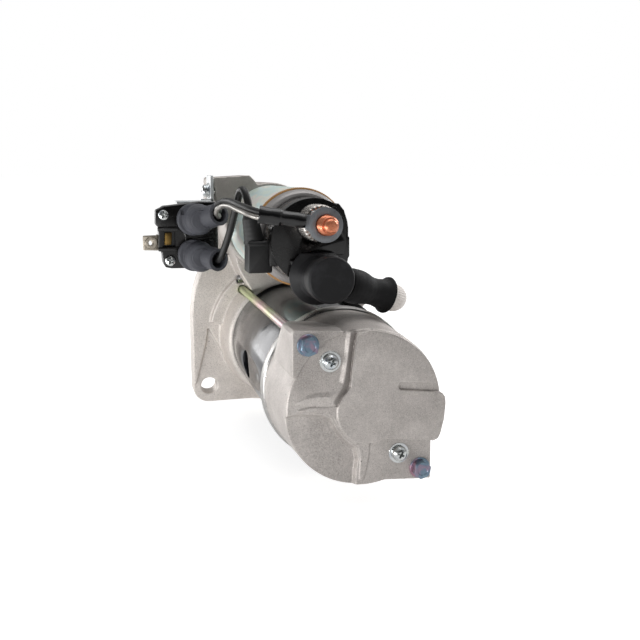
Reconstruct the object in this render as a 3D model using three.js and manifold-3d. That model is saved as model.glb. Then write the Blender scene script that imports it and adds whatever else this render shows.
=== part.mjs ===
// Heavy-duty 24 V planetary-reduction starter motor, modelled as its separate pieces.
// Frame: millimetres, +Z up. The motor shaft lies on Y and the drive end (pinion, nose)
// points to +Y. The origin is on the shaft axis at the flange's mounting face.
import * as THREE from 'three';
import { mergeVertices } from 'three/addons/utils/BufferGeometryUtils.js';
import { ConvexGeometry } from 'three/addons/geometries/ConvexGeometry.js';
import Module from 'manifold-3d';

const wasm = await Module();
wasm.setup();

// ---------------------------------------------------------------- driving dimensions
const GAP = 0.3;                    // clearance kept where two pieces meet
const REAR_Y = -228;                // rear cover's cast face
const PLATEAU = 3;                  // raised part of that face
const LIP_Y = -174.3;               // front lip of the rear cover
const FACE_R = 43;                  // radius of the rear face
const LIP_R = 46.8;                 // radius of the lip
const YOKE_R = 43, YOKE_RI = 38.5;  // yoke tube
const YOKE_Y0 = -174, YOKE_Y1 = -43.9;
const FLANGE_T = 16;                // mounting flange thickness
const PILOT_R = 44.5, PILOT_H = 7;  // locating spigot ahead of the flange
const NOSE_Y = 74;                  // tip of the nose
const BOLT_X = 31.6, BOLT_Z = 36.2; // through-bolts, on a 48 mm radius
const BOLT_R = 2.8;
const SCREW_X = 19.4, SCREW_Z = 26.7; // brush-plate screws, on a 33 mm radius
const EAR_X = 57.7, EAR_Z = 39.3;   // lower-left mounting hole, on a 70 mm radius
const EAR2_X = 61.6, EAR2_Z = 33.2; // upper-right mounting hole, same radius
const EAR_HOLE_R = 6.25;
const SOL_X = -16.7, SOL_Z = 85.3;  // solenoid axis
const SOL_R = 29.3;                 // solenoid case radius
const SOL_Y0 = -149.5, SOL_Y1 = -60.3;
const B_X = -16.8, B_Z = 96.2;      // battery terminal axis
const M_X = -16, M_Z = 68.4;        // motor terminal axis
const MODULE = 1.25;                // gear module, mm
const Z_SUN = 13, Z_PLANET = 17, Z_RING = 47;
const CARRIER_R = MODULE * (Z_SUN + Z_PLANET) / 2;
const Z_PINION = 11, PINION_MODULE = 3;
const CLUTCH_TRAVEL = 12.2, PLUNGER_TRAVEL = 9.0, CONTACT_TRAVEL = 2.5;
const LEVER_D = 50, HOOK_D = 86.9;  // lever pivot and hook, measured from the shaft axis
const LEVER_Y = -23.4;              // lever pivot's place along the shaft
const LEVER_TILT = 7;               // degrees the lever leans at rest

// ---------------------------------------------------------------- helpers
function clean(geo) {
  let g = geo.clone();
  g.deleteAttribute('normal');
  if (g.getAttribute('uv')) g.deleteAttribute('uv');
  g.clearGroups();
  g = mergeVertices(g, 1e-4);
  const idx = g.getIndex().array, out = [];
  for (let i = 0; i < idx.length; i += 3) {
    const a = idx[i], b = idx[i + 1], c = idx[i + 2];
    if (a !== b && b !== c && a !== c) out.push(a, b, c);
  }
  const p = g.getAttribute('position');
  const A = new THREE.Vector3(), B = new THREE.Vector3(), C = new THREE.Vector3();
  let v = 0;
  for (let i = 0; i < out.length; i += 3) {
    A.fromBufferAttribute(p, out[i]); B.fromBufferAttribute(p, out[i + 1]); C.fromBufferAttribute(p, out[i + 2]);
    v += A.dot(B.cross(C));
  }
  if (v < 0) for (let i = 0; i < out.length; i += 3) { const t = out[i]; out[i] = out[i + 1]; out[i + 1] = t; }
  g.setIndex(out);
  return g;
}
function solid(geo) {
  const g = clean(geo);
  return new wasm.Manifold(new wasm.Mesh({
    numProp: 3,
    vertProperties: new Float32Array(g.getAttribute('position').array),
    triVerts: new Uint32Array(g.getIndex().array),
  }));
}
function geometry(m) {
  const mesh = m.getMesh();
  const g = new THREE.BufferGeometry();
  const n = mesh.numProp, vp = mesh.vertProperties, pos = new Float32Array(vp.length / n * 3);
  for (let i = 0; i < vp.length / n; i++) for (let k = 0; k < 3; k++) pos[3 * i + k] = vp[n * i + k];
  g.setAttribute('position', new THREE.BufferAttribute(pos, 3));
  g.setIndex(new THREE.BufferAttribute(new Uint32Array(mesh.triVerts), 1));
  g.computeVertexNormals();
  return g;
}
const join = (...a) => a.slice(1).reduce((s, g) => s.add(g), a[0]);
const cut = (a, ...b) => b.reduce((s, g) => s.subtract(g), a);

// solid of revolution about Y; the profile is a closed loop of [radius, y]
function turn(profile, seg = 40) {
  const pts = profile.map(([r, y]) => new THREE.Vector2(r, y));
  const onAxis = profile[0][0] === 0 && profile[profile.length - 1][0] === 0;
  if (!onAxis) pts.push(pts[0].clone());
  return new THREE.LatheGeometry(pts, seg);
}
const tube = (ro, ri, y0, y1, seg = 40) => turn([[ri, y0], [ro, y0], [ro, y1], [ri, y1]], seg);
function rod(r, y0, y1, seg = 24, r2 = r) {
  const g = new THREE.CylinderGeometry(r2, r, y1 - y0, seg);
  g.translate(0, (y0 + y1) / 2, 0);
  return g;
}
// outline of [x, z] points carried along Y from y0 to y1
function prism(points, y0, y1, holes = []) {
  const s = new THREE.Shape(points.map(([x, z]) => new THREE.Vector2(x, z)));
  for (const h of holes) s.holes.push(new THREE.Path(h.map(([x, z]) => new THREE.Vector2(x, z))));
  const g = new THREE.ExtrudeGeometry(s, { depth: y1 - y0, bevelEnabled: false });
  g.rotateX(Math.PI / 2);
  g.translate(0, y1, 0);
  return g;
}
function box(x0, x1, y0, y1, z0, z1) {
  const g = new THREE.BoxGeometry(x1 - x0, y1 - y0, z1 - z0);
  g.translate((x0 + x1) / 2, (y0 + y1) / 2, (z0 + z1) / 2);
  return g;
}
const at = (g, x, y, z) => { const c = g.clone(); c.translate(x, y, z); return c; };
function hull(pts) { return new ConvexGeometry(pts.map(p => new THREE.Vector3(...p))); }
const circle = (cx, cz, r, n = 24, a0 = 0) => Array.from({ length: n }, (_, i) => {
  const a = a0 + 2 * Math.PI * i / n; return [cx + r * Math.cos(a), cz + r * Math.sin(a)];
});
const arc = (cx, cz, r, a0, a1, n) => Array.from({ length: n + 1 }, (_, i) => {
  const a = THREE.MathUtils.degToRad(a0 + (a1 - a0) * i / n); return [cx + r * Math.cos(a), cz + r * Math.sin(a)];
});
// round bar along a smooth route; step is the spacing of its sections
function along(points, r, seg = 8, step = null, hole = 0) {
  const curve = new THREE.CatmullRomCurve3(points.map(p => new THREE.Vector3(...p)), false, 'centripetal');
  const len = curve.getLength();
  const steps = Math.max(2, Math.round(len / (step || r * 4)));
  const s = new THREE.Shape(circle(0, 0, r, seg).map(([x, y]) => new THREE.Vector2(x, y)));
  if (hole) s.holes.push(new THREE.Path(circle(0, 0, hole, seg).map(([x, y]) => new THREE.Vector2(x, y))));
  return new THREE.ExtrudeGeometry(s, { steps, extrudePath: curve, bevelEnabled: false });
}
// a turned piece whose Y axis is laid along a direction from a point
function aim(g, from, dir) {
  const c = g.clone();
  const q = new THREE.Quaternion().setFromUnitVectors(new THREE.Vector3(0, 1, 0), new THREE.Vector3(...dir).normalize());
  c.applyQuaternion(q);
  c.translate(...from);
  return c;
}
// gear outline: trapezoidal teeth, thinned for running clearance
function gearOutline(z, m, phase, { add = 0.85, ded = 1.2, tip = 0.10, root = 0.29 } = {}) {
  const rp = z * m / 2, pts = [], p = 2 * Math.PI / z;
  for (let i = 0; i < z; i++) {
    const c = phase + i * p;
    pts.push([rp - ded * m, c - root * p], [rp + add * m, c - tip * p],
             [rp + add * m, c + tip * p], [rp - ded * m, c + root * p]);
  }
  return pts.map(([r, a]) => [r * Math.cos(a), r * Math.sin(a)]);
}
function ringOutline(z, m, phase) {
  const rp = z * m / 2, pts = [], p = 2 * Math.PI / z;
  for (let i = 0; i < z; i++) {
    const c = phase + i * p;
    pts.push([rp + 1.2 * m, c - 0.27 * p], [rp - 0.8 * m, c - 0.12 * p],
             [rp - 0.8 * m, c + 0.12 * p], [rp + 1.2 * m, c + 0.27 * p]);
  }
  return pts.map(([r, a]) => [r * Math.cos(a), r * Math.sin(a)]);
}

// ---------------------------------------------------------------- scene graph
const starter = new THREE.Group();
const finishes = {
  cast:     { color: 0x9a918b, roughness: 0.62, metalness: 0.75 },
  yoke:     { color: 0x86868a, roughness: 0.22, metalness: 0.95 },
  zinc:     { color: 0xc3c6c4, roughness: 0.30, metalness: 1.0 },
  greenZinc:{ color: 0xb9cbbd, roughness: 0.33, metalness: 0.95 },
  yellowZinc:{ color: 0xb9b878, roughness: 0.35, metalness: 0.95 },
  steel:    { color: 0x8b8f93, roughness: 0.38, metalness: 1.0 },
  darkSteel:{ color: 0x55585b, roughness: 0.45, metalness: 1.0 },
  copper:   { color: 0xc46a38, roughness: 0.28, metalness: 1.0 },
  bronze:   { color: 0xa57a45, roughness: 0.5, metalness: 0.9 },
  tin:      { color: 0xb6b2a4, roughness: 0.35, metalness: 1.0 },
  blackPlastic: { color: 0x141313, roughness: 0.25, metalness: 0.0 },
  brownFibre: { color: 0x8a5f33, roughness: 0.6, metalness: 0.0 },
  greyRubber:{ color: 0x5d5e66, roughness: 0.65, metalness: 0.0 },
  blackRubber:{ color: 0x232428, roughness: 0.6, metalness: 0.0 },
  sleeve:   { color: 0x17171a, roughness: 0.8, metalness: 0.0 },
  wireBlack:{ color: 0x121212, roughness: 0.35, metalness: 0.0 },
  wireTin:  { color: 0xb9b6ae, roughness: 0.25, metalness: 1.0 },
  braid:    { color: 0xd8cdc2, roughness: 0.9, metalness: 0.0 },
  carbon:   { color: 0x2c2a2a, roughness: 0.6, metalness: 0.3 },
  enamel:   { color: 0x9a5a30, roughness: 0.4, metalness: 0.6 },
  phenolic: { color: 0x6b4a2b, roughness: 0.6, metalness: 0.0 },
};
function piece(name, geo, finish, parent = starter) {
  let g = geo;
  if (!(g instanceof THREE.BufferGeometry)) g = geometry(g);
  else { g = clean(g); g.computeVertexNormals(); }
  const mesh = new THREE.Mesh(g, new THREE.MeshStandardMaterial(finishes[finish]));
  mesh.name = name;
  parent.add(mesh);
  return mesh;
}
const solenoid = new THREE.Group();
solenoid.position.set(SOL_X, 0, SOL_Z);
starter.add(solenoid);

// ---------------------------------------------------------------- rear cover
// Die-cast cup: tapered side, machined lip, two bolt ears, a raised plateau with a
// slot and a side lug, and two ribs on the lower field of the face.
const earProfile = [[-39.6, 19.5], [-39.6, 37.2], [-37.4, 41.2], [-33.2, 43.4], [-12.5, 42.4], [-10, 20], [-22, 12]];
function coverEar(sign) {
  const q = (x, y, z) => [sign * x, y, sign * z];
  const back = earProfile.map(([x, z]) => q(x, REAR_Y - 1.5, z));
  const mid = earProfile.map(([x, z]) => q(x, -213, z));
  const front = [[-40.5, 21], [-35.5, 27], [-34.5, 34], [-35.4, 39.2], [-31.5, 40.6], [-26, 39], [-12.5, 40], [-10, 20], [-22, 12]]
    .map(([x, z]) => q(x, -184.5, z));
  return hull([...back, ...mid, ...front]);
}
const plateauOutline = [
  [-5.6, 41.2], ...arc(0, 0, 42.2, 92, 18, 12), [39.6, 11.9], [18.9, 13.0], ...arc(18.9, 10.8, 2.2, 90, 270, 6), [43.2, 5.9],
  [45.2, 3.6], [45.7, -15], [43.6, -19.6], [39.6, -21.2], [10.6, -17.6],
  ...arc(-0.2, -3.2, 16.4, -60, -192, 12), [-14.6, 8], [-9.9, 18.6], [-7.8, 33],
];
{
  let m = solid(turn([
    [0, REAR_Y], [41.4, REAR_Y], [42.6, REAR_Y + 0.5], [FACE_R + 0.2, REAR_Y + 2], [45.2, -181],
    [45.6, -179.2], [LIP_R, -178.4], [LIP_R, LIP_Y], [39.6, LIP_Y], [39.6, -216], [36.5, -221.5], [0, -221.5]], 40));
  m = join(m,
    solid(coverEar(1)), solid(coverEar(-1)),
    solid(prism(plateauOutline, REAR_Y - PLATEAU, REAR_Y + 1)),
    solid(hull([...[[41, 6.2], [43.2, 5.9], [45.2, 3.6], [45.7, -15], [43.6, -19.6], [39.6, -21.2], [30, -20], [30, 6]].map(([x, z]) => [x, REAR_Y + 0.5, z]),
      ...[[41, 5.6], [43.4, 4.2], [44.4, -14], [42.4, -18], [36, -19], [30, 5]].map(([x, z]) => [x, -196, z])])),
    solid(prism([[-39.5, 0.2], [-39.5, 2.6], [-13, -0.9], [-13, -3.3]], REAR_Y - 1.8, REAR_Y + 1)),
    solid(prism([[-3.3, -17], [-0.7, -17], [-0.7, -41.5], [-3.3, -41.5]], REAR_Y - 1.8, REAR_Y + 1)),
  );
  // hollow inside, bearing seat, bolt and screw holes
  m = cut(m,
    solid(turn([[0, -221.5], [36.5, -221.5], [39.6, -216], [39.6, LIP_Y + 1], [0, LIP_Y + 1]], 40)));
  m = join(m, solid(tube(19, 15.4, -222.5, -212.5, 24)));
  m = cut(m, solid(rod(15.4, -222, -212, 24)));
  for (const s of [1, -1]) {
    m = cut(m, solid(at(rod(BOLT_R + 0.5, -240, -150, 14), -s * BOLT_X, 0, s * BOLT_Z)),
      solid(at(rod(2.7, -240, -205, 12), -s * SCREW_X, 0, s * SCREW_Z)));
  }
  piece('rear_cover', m, 'cast');
}
piece('rear_bearing', tube(14.9, 5.4, -221.1, -212.8, 20), 'steel');

// ---------------------------------------------------------------- through-bolts and screws
for (const [name, s] of [['through_bolt_upper', 1], ['through_bolt_lower', -1]]) {
  const m = join(
    solid(rod(4.95, REAR_Y - 7.4, REAR_Y - 2.6, 6)),
    solid(rod(5.6, REAR_Y - 2.8, REAR_Y - 1.8, 20)),
    solid(rod(BOLT_R, REAR_Y - 2.2, -5, 10)));
  piece(name, m, 'yellowZinc').position.set(-s * BOLT_X, 0, s * BOLT_Z);
}
for (const [name, s] of [['cover_screw_upper', 1], ['cover_screw_lower', -1]]) {
  let m = join(
    solid(turn([[0, REAR_Y - 5.6], [2.2, REAR_Y - 5.5], [3.7, REAR_Y - 4.5], [4.2, REAR_Y - 3.1], [4.2, REAR_Y - 2.8], [0, REAR_Y - 2.8]], 16)),
    solid(rod(5.1, REAR_Y - 3.1, REAR_Y - 1.9, 20)),
    solid(rod(2.3, REAR_Y - 2.4, -204.8, 10)));
  m = cut(m, solid(box(-2.4, 2.4, REAR_Y - 7, REAR_Y - 4.1, -0.55, 0.55)), solid(box(-0.55, 0.55, REAR_Y - 7, REAR_Y - 4.1, -2.4, 2.4)));
  piece(name, m, 'zinc').position.set(-s * SCREW_X, 0, s * SCREW_Z);
}

// ---------------------------------------------------------------- yoke and field
// Steel tube with an oval opening on its left side and a hole for the motor lead.
const GROMMET = [24.2, -122, 35.6], GROMMET_DIR = [0.562, 0, 0.827];
{
  const oval = new THREE.CylinderGeometry(1, 1, 20, 24);
  oval.scale(11.2, 1, 9.4);
  oval.rotateX(Math.PI / 2); oval.rotateY(Math.PI / 2);      // its length now lies on X
  const ov = new THREE.CylinderGeometry(1, 1, 20, 24);
  ov.rotateZ(Math.PI / 2); ov.scale(1, 11.2, 9.4);
  let m = solid(tube(YOKE_R, YOKE_RI, YOKE_Y0, YOKE_Y1, 48));
  m = cut(m, solid(at(ov, -42, -101.5, -3.2)),
    solid(aim(rod(8.8, -10, 12, 20), GROMMET, GROMMET_DIR)));
  piece('yoke', m, 'yoke');
}
for (let k = 0; k < 4; k++) {
  const rim = arc(0, 0, 38.1, 90 - 13, 90 + 13, 6);
  const tipArc = arc(0, 0, 27.6, 90 + 30, 90 - 30, 8);
  const outline = [...rim, [-8.5, 30.2], [-14.6, 26.6], ...tipArc.slice(1, -1), [14.6, 26.6], [8.5, 30.2]];
  const mesh = piece(`pole_shoe_${k + 1}`, prism(outline, -166, -92), 'darkSteel');
  mesh.rotation.y = (k + 0.5) * Math.PI / 2;
}
{
  // four rectangular coils on the pole shoes, joined in series by a strap round the front
  let m = solid(tube(36.2, 33.2, -84.5, -81.8, 24));
  for (let k = 0; k < 4; k++) {
    const c = new THREE.Group();
    const outer = box(-15, 15, -173, -84, 31, 34.4), inner = box(-9.2, 9.2, -166.8, -91.2, 30, 36);
    let coil = cut(solid(outer), solid(inner));
    coil = join(coil, solid(box(-5, 5, -86, -82, 31.6, 34.2)));
    const g = geometry(coil); g.rotateY((k + 0.5) * Math.PI / 2);
    m = join(m, solid(g));
  }
  piece('field_winding', m, 'enamel');
}

// ---------------------------------------------------------------- brush gear
{
  let m = solid(tube(38, 22.5, -204.3, -201.8, 28));
  for (let k = 0; k < 4; k++) {
    const g = cut(solid(box(-7, 7, -202, -186.5, 18.8, 34)), solid(box(-5, 5, -200.5, -185, 17, 36)));
    const gg = geometry(g); gg.rotateY((k + 0.5) * Math.PI / 2);
    m = join(m, solid(gg));
  }
  piece('brush_plate', m, 'zinc');
}
for (let k = 0; k < 4; k++) {
  const mesh = piece(`brush_${k + 1}`, box(-4.7, 4.7, -200.1, -187, 16.9, 30), 'carbon');
  mesh.rotation.y = (k + 0.5) * Math.PI / 2;
}

// ---------------------------------------------------------------- armature
{
  // shaft with the sun gear cut on its front end
  let m = join(solid(turn([[0, -221], [5, -221], [5, -206], [7, -206], [7, -89], [6, -89], [6, -78], [0, -78]], 20)),
    solid(prism(gearOutline(Z_SUN, MODULE, 0), -78.5, -65)));
  piece('armature_shaft', m, 'steel');
}
{
  // laminated core with open slots for the winding
  const n = 12;
  const outline = [];
  for (let i = 0; i < n; i++) {
    const c = 2 * Math.PI * i / n, p = 2 * Math.PI / n;
    outline.push([19.5, c - 0.30 * p], [26.3, c - 0.33 * p], [26.3, c + 0.33 * p], [19.5, c + 0.30 * p]);
  }
  const xy = outline.map(([r, a]) => [r * Math.cos(a), r * Math.sin(a)]);
  piece('armature_core', prism(xy, -164, -94, [circle(0, 0, 7.3, 20)]), 'darkSteel');
}
{
  let m = solid(tube(25.6, 20.4, -172.5, -164.4, 24));
  m = join(m, solid(tube(25.6, 20.4, -93.6, -87.5, 24)));
  for (let i = 0; i < 12; i++) {
    const a = 2 * Math.PI * (i + 0.5) / 12;
    const b = box(20.5, 25.2, -165, -93, -1.7, 1.7); b.rotateY(-a);
    m = join(m, solid(b));
  }
  piece('armature_winding', m, 'enamel');
}
piece('commutator', turn([[7.4, -203.5], [16.5, -203.5], [16.5, -182], [19.5, -182], [19.5, -176], [7.4, -176]], 24), 'copper');

// ---------------------------------------------------------------- reduction gear
piece('center_plate', turn([[6.5, -81], [12, -81], [12, -79.9], [38.1, -79.9], [38.1, -78.7], [6.5, -78.7]], 28), 'steel');
// tooth phases: a sun tooth points along +X (local), planets and ring are set to mesh with it
const TAU = 2 * Math.PI;
function planetPhase(theta) {
  const p1 = theta * Z_SUN / TAU;
  return theta + Math.PI - (TAU / Z_PLANET) * (0.5 - p1);
}
function ringPhase() {
  const a2 = planetPhase(0);
  const pOut = -a2 * Z_PLANET / TAU;
  return -(TAU / Z_RING) * (pOut - 0.5);
}
for (let k = 0; k < 3; k++) {
  const th = k * TAU / 3;
  const mesh = piece(`planet_gear_${k + 1}`, prism(gearOutline(Z_PLANET, MODULE, planetPhase(th)), -77.4, -66, [circle(0, 0, 4.4, 16)]), 'steel');
  mesh.position.set(CARRIER_R * Math.cos(th), 0, CARRIER_R * Math.sin(th));
}
{
  const m = cut(solid(rod(38, -78.2, -64.5, 40)), solid(prism(ringOutline(Z_RING, MODULE, ringPhase()), -80, -60)));
  piece('ring_gear', m, 'steel');
}
{
  // carrier disc, planet pins and output shaft in one forging
  let m = join(solid(rod(26, -64.2, -58.5, 28)), solid(rod(11, -59, -45.5, 24)), solid(rod(7.2, -46, 66, 16)));
  for (let k = 0; k < 3; k++) {
    const th = k * TAU / 3;
    m = join(m, solid(at(rod(4, -77, -64, 14), CARRIER_R * Math.cos(th), 0, CARRIER_R * Math.sin(th))));
  }
  piece('output_shaft', m, 'steel');
}

// ---------------------------------------------------------------- front housing
// One casting: body ring behind the flange, flange with two ears, solenoid seat and
// neck above, pilot and nose in front, with a window for the pinion.
const U = [-0.1921, 0.9814];                    // from the shaft axis towards the solenoid axis
const LEAN = Math.asin(-U[0]);                  // that direction's angle from vertical
function lean(g) { const c = g.clone(); c.rotateY(-LEAN); return c; }   // +Z leans to -X
const flangeOutline = [
  [-70, -40.5], ...arc(-58.2, -40.3, 11.9, 180, 270, 5), [-25, -52], [-8, -54],
  ...arc(0, 0, 54.5, -82, -8, 6), [62, 18], ...arc(EAR2_X, EAR2_Z, 12.8, -40, 95, 6), [42, 54], [22, 70],
  [11, 92], [1, 107], [-14, 114.6], [-26, 117.4], [-31, 121.4], [-56.4, 120],
  [-57, 104], [-50, 78], [-52, 60], ...arc(0, 19, 69.5, 143, 177, 5), [-70, 20],
];
{
  let m = join(
    solid(prism(flangeOutline, -FLANGE_T, 0)),
    // body ring between yoke and flange
    solid(turn([[0, -43.6], [44, -43.6], [45.6, -42], [49, -17], [49, -14], [0, -14]], 32)),
    // shoulder on the upper left of the flange
    solid(prism([...arc(0, 0, 57, 166, 110, 6), ...arc(0, 0, 46, 110, 166, 4)], -24, -15)),
    // rib from the shoulder to the ear
    solid(prism([[-58.5, 5], [-55, 3], [-66.5, -35], [-70, -36], [-70, -28]], -20, -15)),
    // bolt lugs
    solid(at(rod(6.2, -22, -2, 18), -BOLT_X, 0, BOLT_Z)), solid(at(rod(6.2, -22, -2, 18), BOLT_X, 0, -BOLT_Z)),
    // solenoid seat: round rim and squared block with the bracket pad on its left
    solid(at(rod(31.3, -60, -12, 28), SOL_X, 0, SOL_Z)),
    solid(prism([[-56.4, 120], [-31, 121.6], [-26.8, 117.2], [-20, 104], [-30, 66], [-41, 74], [-51.5, 96], [-55, 104.6]], -60, -12)),
    // neck between body and seat
    solid(prism([[-46, 78], [-37, 52], [-24, 30], [22, 30], [14, 68], [10, 82]], -50, -12)),
    // pilot and nose
    solid(turn([[0, -2], [PILOT_R, -2], [PILOT_R, PILOT_H], [38, PILOT_H + 0.5], [36, 12], [31, 30], [30, 52], [22, 60], [15.5, 64], [14.5, NOSE_Y], [0, NOSE_Y]], 28)),
  );
  // inside: gear chamber, shaft wall, clutch chamber, nose bore
  m = cut(m, solid(rod(YOKE_R + 0.5, -70, -43.6, 32)),
    solid(turn([[0, -45], [36, -45], [36, -40.5], [0, -40.5]], 28)),
    solid(rod(23, -38.7, 54, 24)),
    solid(rod(11.6, -41, -38, 24)),
    solid(rod(10.2, 50, NOSE_Y + 2, 24)),
    // lever slot through the neck, and plunger bore
    solid(lean(box(-20.5, 20.5, -38.7, -9.5, 2, 38))),
    solid(lean(box(-9, 9, -38.7, -9.5, 30, 98))),
    solid(at(rod(14.6, -62, -9.5, 20), SOL_X, 0, SOL_Z)),
    // pinion window, away from the solenoid
    solid(box(4, 60, 10.5, 50, -26, 26)),
    // mounting holes and bolt holes
    solid(at(rod(EAR_HOLE_R, -30, 5, 18), -EAR_X, 0, -EAR_Z)), solid(at(rod(EAR_HOLE_R, -30, 5, 18), EAR2_X, 0, EAR2_Z)),
    solid(at(rod(BOLT_R + 0.5, -60, -4, 14), -BOLT_X, 0, BOLT_Z)), solid(at(rod(BOLT_R + 0.5, -60, -4, 14), BOLT_X, 0, -BOLT_Z)),
    // pivot-pin bore across the neck
    solid(lean(at((() => { const g = rod(3.4, -27, 60, 12); g.rotateZ(-Math.PI / 2); return g; })(), 0, LEVER_Y, LEVER_D))),
    // bracket-screw hole in the seat's left face
    solid(at((() => { const g = rod(2.9, -14, 10, 12); g.rotateZ(Math.PI / 2); return g; })(), -54, -56, 111)),
  );
  piece('front_housing', m, 'cast');
}
piece('nose_bush', tube(9.9, 7.6, 56, 72, 24), 'bronze');

// ---------------------------------------------------------------- drive: clutch, pinion, stop
{
  let m = solid(turn([[7.6, -38], [18, -38], [18, -35], [12.6, -35], [12.6, -24], [19.5, -24], [19.5, -4], [16, -2.6], [11.6, -2.6], [11.6, -1.2], [7.6, -1.2]], 28));
  piece('clutch_drum', m, 'steel');
}
piece('pinion', join(
  solid(prism(gearOutline(Z_PINION, PINION_MODULE, 0, { add: 0.8, ded: 1.1, tip: 0.12, root: 0.34 }), 2, 22, [circle(0, 0, 7.6, 18)])),
  solid(tube(11, 7.6, -0.9, 3, 22))), 'steel');
piece('stop_collar', tube(10.8, 7.6, 36.5, 41.5, 20), 'steel');

// ---------------------------------------------------------------- shift lever
{
  const lever = new THREE.Group();
  lever.rotation.y = -LEAN;
  starter.add(lever);
  let m = join(
    solid(box(-18.6, -14.4, -2, 2, -50, -14)), solid(box(14.4, 18.6, -2, 2, -50, -14)),
    solid(box(-18.6, 18.6, -3, 3, -24, -13)),
    solid(box(-6, 6, -3.6, 3.6, -16, 10)),
    solid(box(-4.2, 4.2, -3, 3, 8, 41)),
    solid((() => { const g = rod(6.6, -7.6, 7.6, 20); g.rotateZ(Math.PI / 2); return g; })()));
  m = cut(m, solid((() => { const g = rod(3.4, -30, 30, 16); g.rotateZ(Math.PI / 2); return g; })()));
  const g = geometry(m);
  g.rotateX(-THREE.MathUtils.degToRad(LEVER_TILT));
  const mesh = piece('shift_lever', g, 'darkSteel', lever);
  mesh.position.set(0, LEVER_Y, LEVER_D);
  const pin = rod(3, -26.4, 26.4, 12); pin.rotateZ(Math.PI / 2);
  piece('lever_pivot_pin', pin, 'steel', lever).position.set(0, LEVER_Y, LEVER_D);
}

// ---------------------------------------------------------------- solenoid
piece('solenoid_case', turn([[13.8, SOL_Y1 - 3.7], [13.8, SOL_Y1], [SOL_R - 0.6, SOL_Y1], [SOL_R, SOL_Y1 - 1.5], [SOL_R, SOL_Y0], [26.4, SOL_Y0], [26.4, SOL_Y1 - 3.7]], 36), 'greenZinc', solenoid);
piece('solenoid_coil', tube(25.9, 14.3, -118.5, -64.5, 24), 'enamel', solenoid);
{
  // moving core with a slotted bar that holds the lever's tip
  let m = join(solid(rod(13, -95, -35, 20)), solid(box(-8, 8, -36, -10.5, -7, 7)));
  m = cut(m, solid(box(-5, 5, -23.6, -14.2, -9, 9)));
  const g = geometry(m); g.rotateY(-LEAN);
  piece('plunger', g, 'steel', solenoid);
}
{
  const turns = 3, n = 36, pts = [];
  for (let i = 0; i <= n; i++) {
    const a = TAU * turns * i / n;
    pts.push([8.6 * Math.cos(a), -102.6 + 6.4 * i / n, 8.6 * Math.sin(a)]);
  }
  piece('return_spring', along(pts, 0.75, 5, 5), 'steel', solenoid);
}
piece('gasket_ring', tube(29.6, 26.6, -152, SOL_Y0 - 0.3, 40), 'brownFibre', solenoid);
piece('solenoid_end_ring', turn([[3.6, -160], [25.8, -160], [27.6, -158.2], [28.4, -152.3], [26, -152.3], [26, -121], [12, -121], [12, -113], [3.6, -113]], 32), 'zinc', solenoid);
{
  // moulded cap: round, cut flat on its right side, with a square terminal block
  const outline = [...arc(0, 0, 24.3, 57, 322, 22), [19.4, -11.5], [19.4, 2], [13.3, 20.3]];
  let m = solid(prism(outline, -184, -160.3));
  m = cut(m, solid(rod(21.5, -175, -150, 24)));
  m = m.intersect(solid(prism(outline, -184, -160.3)));
  m = join(m,
    solid(at(rod(10.2, -187, -183, 24), B_X - SOL_X, 0, B_Z - SOL_Z)),
    solid(box(-24.6, -17, -180, -164, -14, 6)));
  m = cut(m, solid(rod(18.6, -176, -150, 24)),
    solid(at(rod(4.5, -176, -163, 20), M_X - SOL_X, 0, M_Z - SOL_Z)),
    solid(at(rod(5.6, -190, -170, 20), B_X - SOL_X, 0, B_Z - SOL_Z)),
    solid(at(rod(4.4, -190, -170, 20), M_X - SOL_X, 0, M_Z - SOL_Z)));
  piece('terminal_cap', m, 'blackPlastic', solenoid);
}
piece('contact_disc', join(solid(rod(14.5, -167.5, -165.3, 28)), solid(rod(3, -170, -108.5, 12))), 'copper', solenoid);
{
  const m = join(solid(rod(5.2, -222, -170.8, 18, 5.2)));
  const tip = cut(solid(turn([[0, -222.4], [3.4, -222.4], [5.2, -220], [5.2, -174.2], [5.2, -170.8], [0, -170.8]], 20)));
  piece('battery_stud', join(tip, solid(tube(8.6, 4, -208.4, -206.2, 20)), solid(rod(5.5, -173.9 + 0, -170.8, 20))), 'copper').position.set(B_X, 0, B_Z);
}
piece('terminal_collar', tube(10.4, 5.6, -201.5, -187.3, 28), 'zinc').position.set(B_X, 0, B_Z);
piece('motor_stud', join(solid(rod(4, -212, -171, 16)), solid(rod(7, -206.5, -202.5, 6))), 'copper').position.set(M_X, 0, M_Z);

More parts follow.
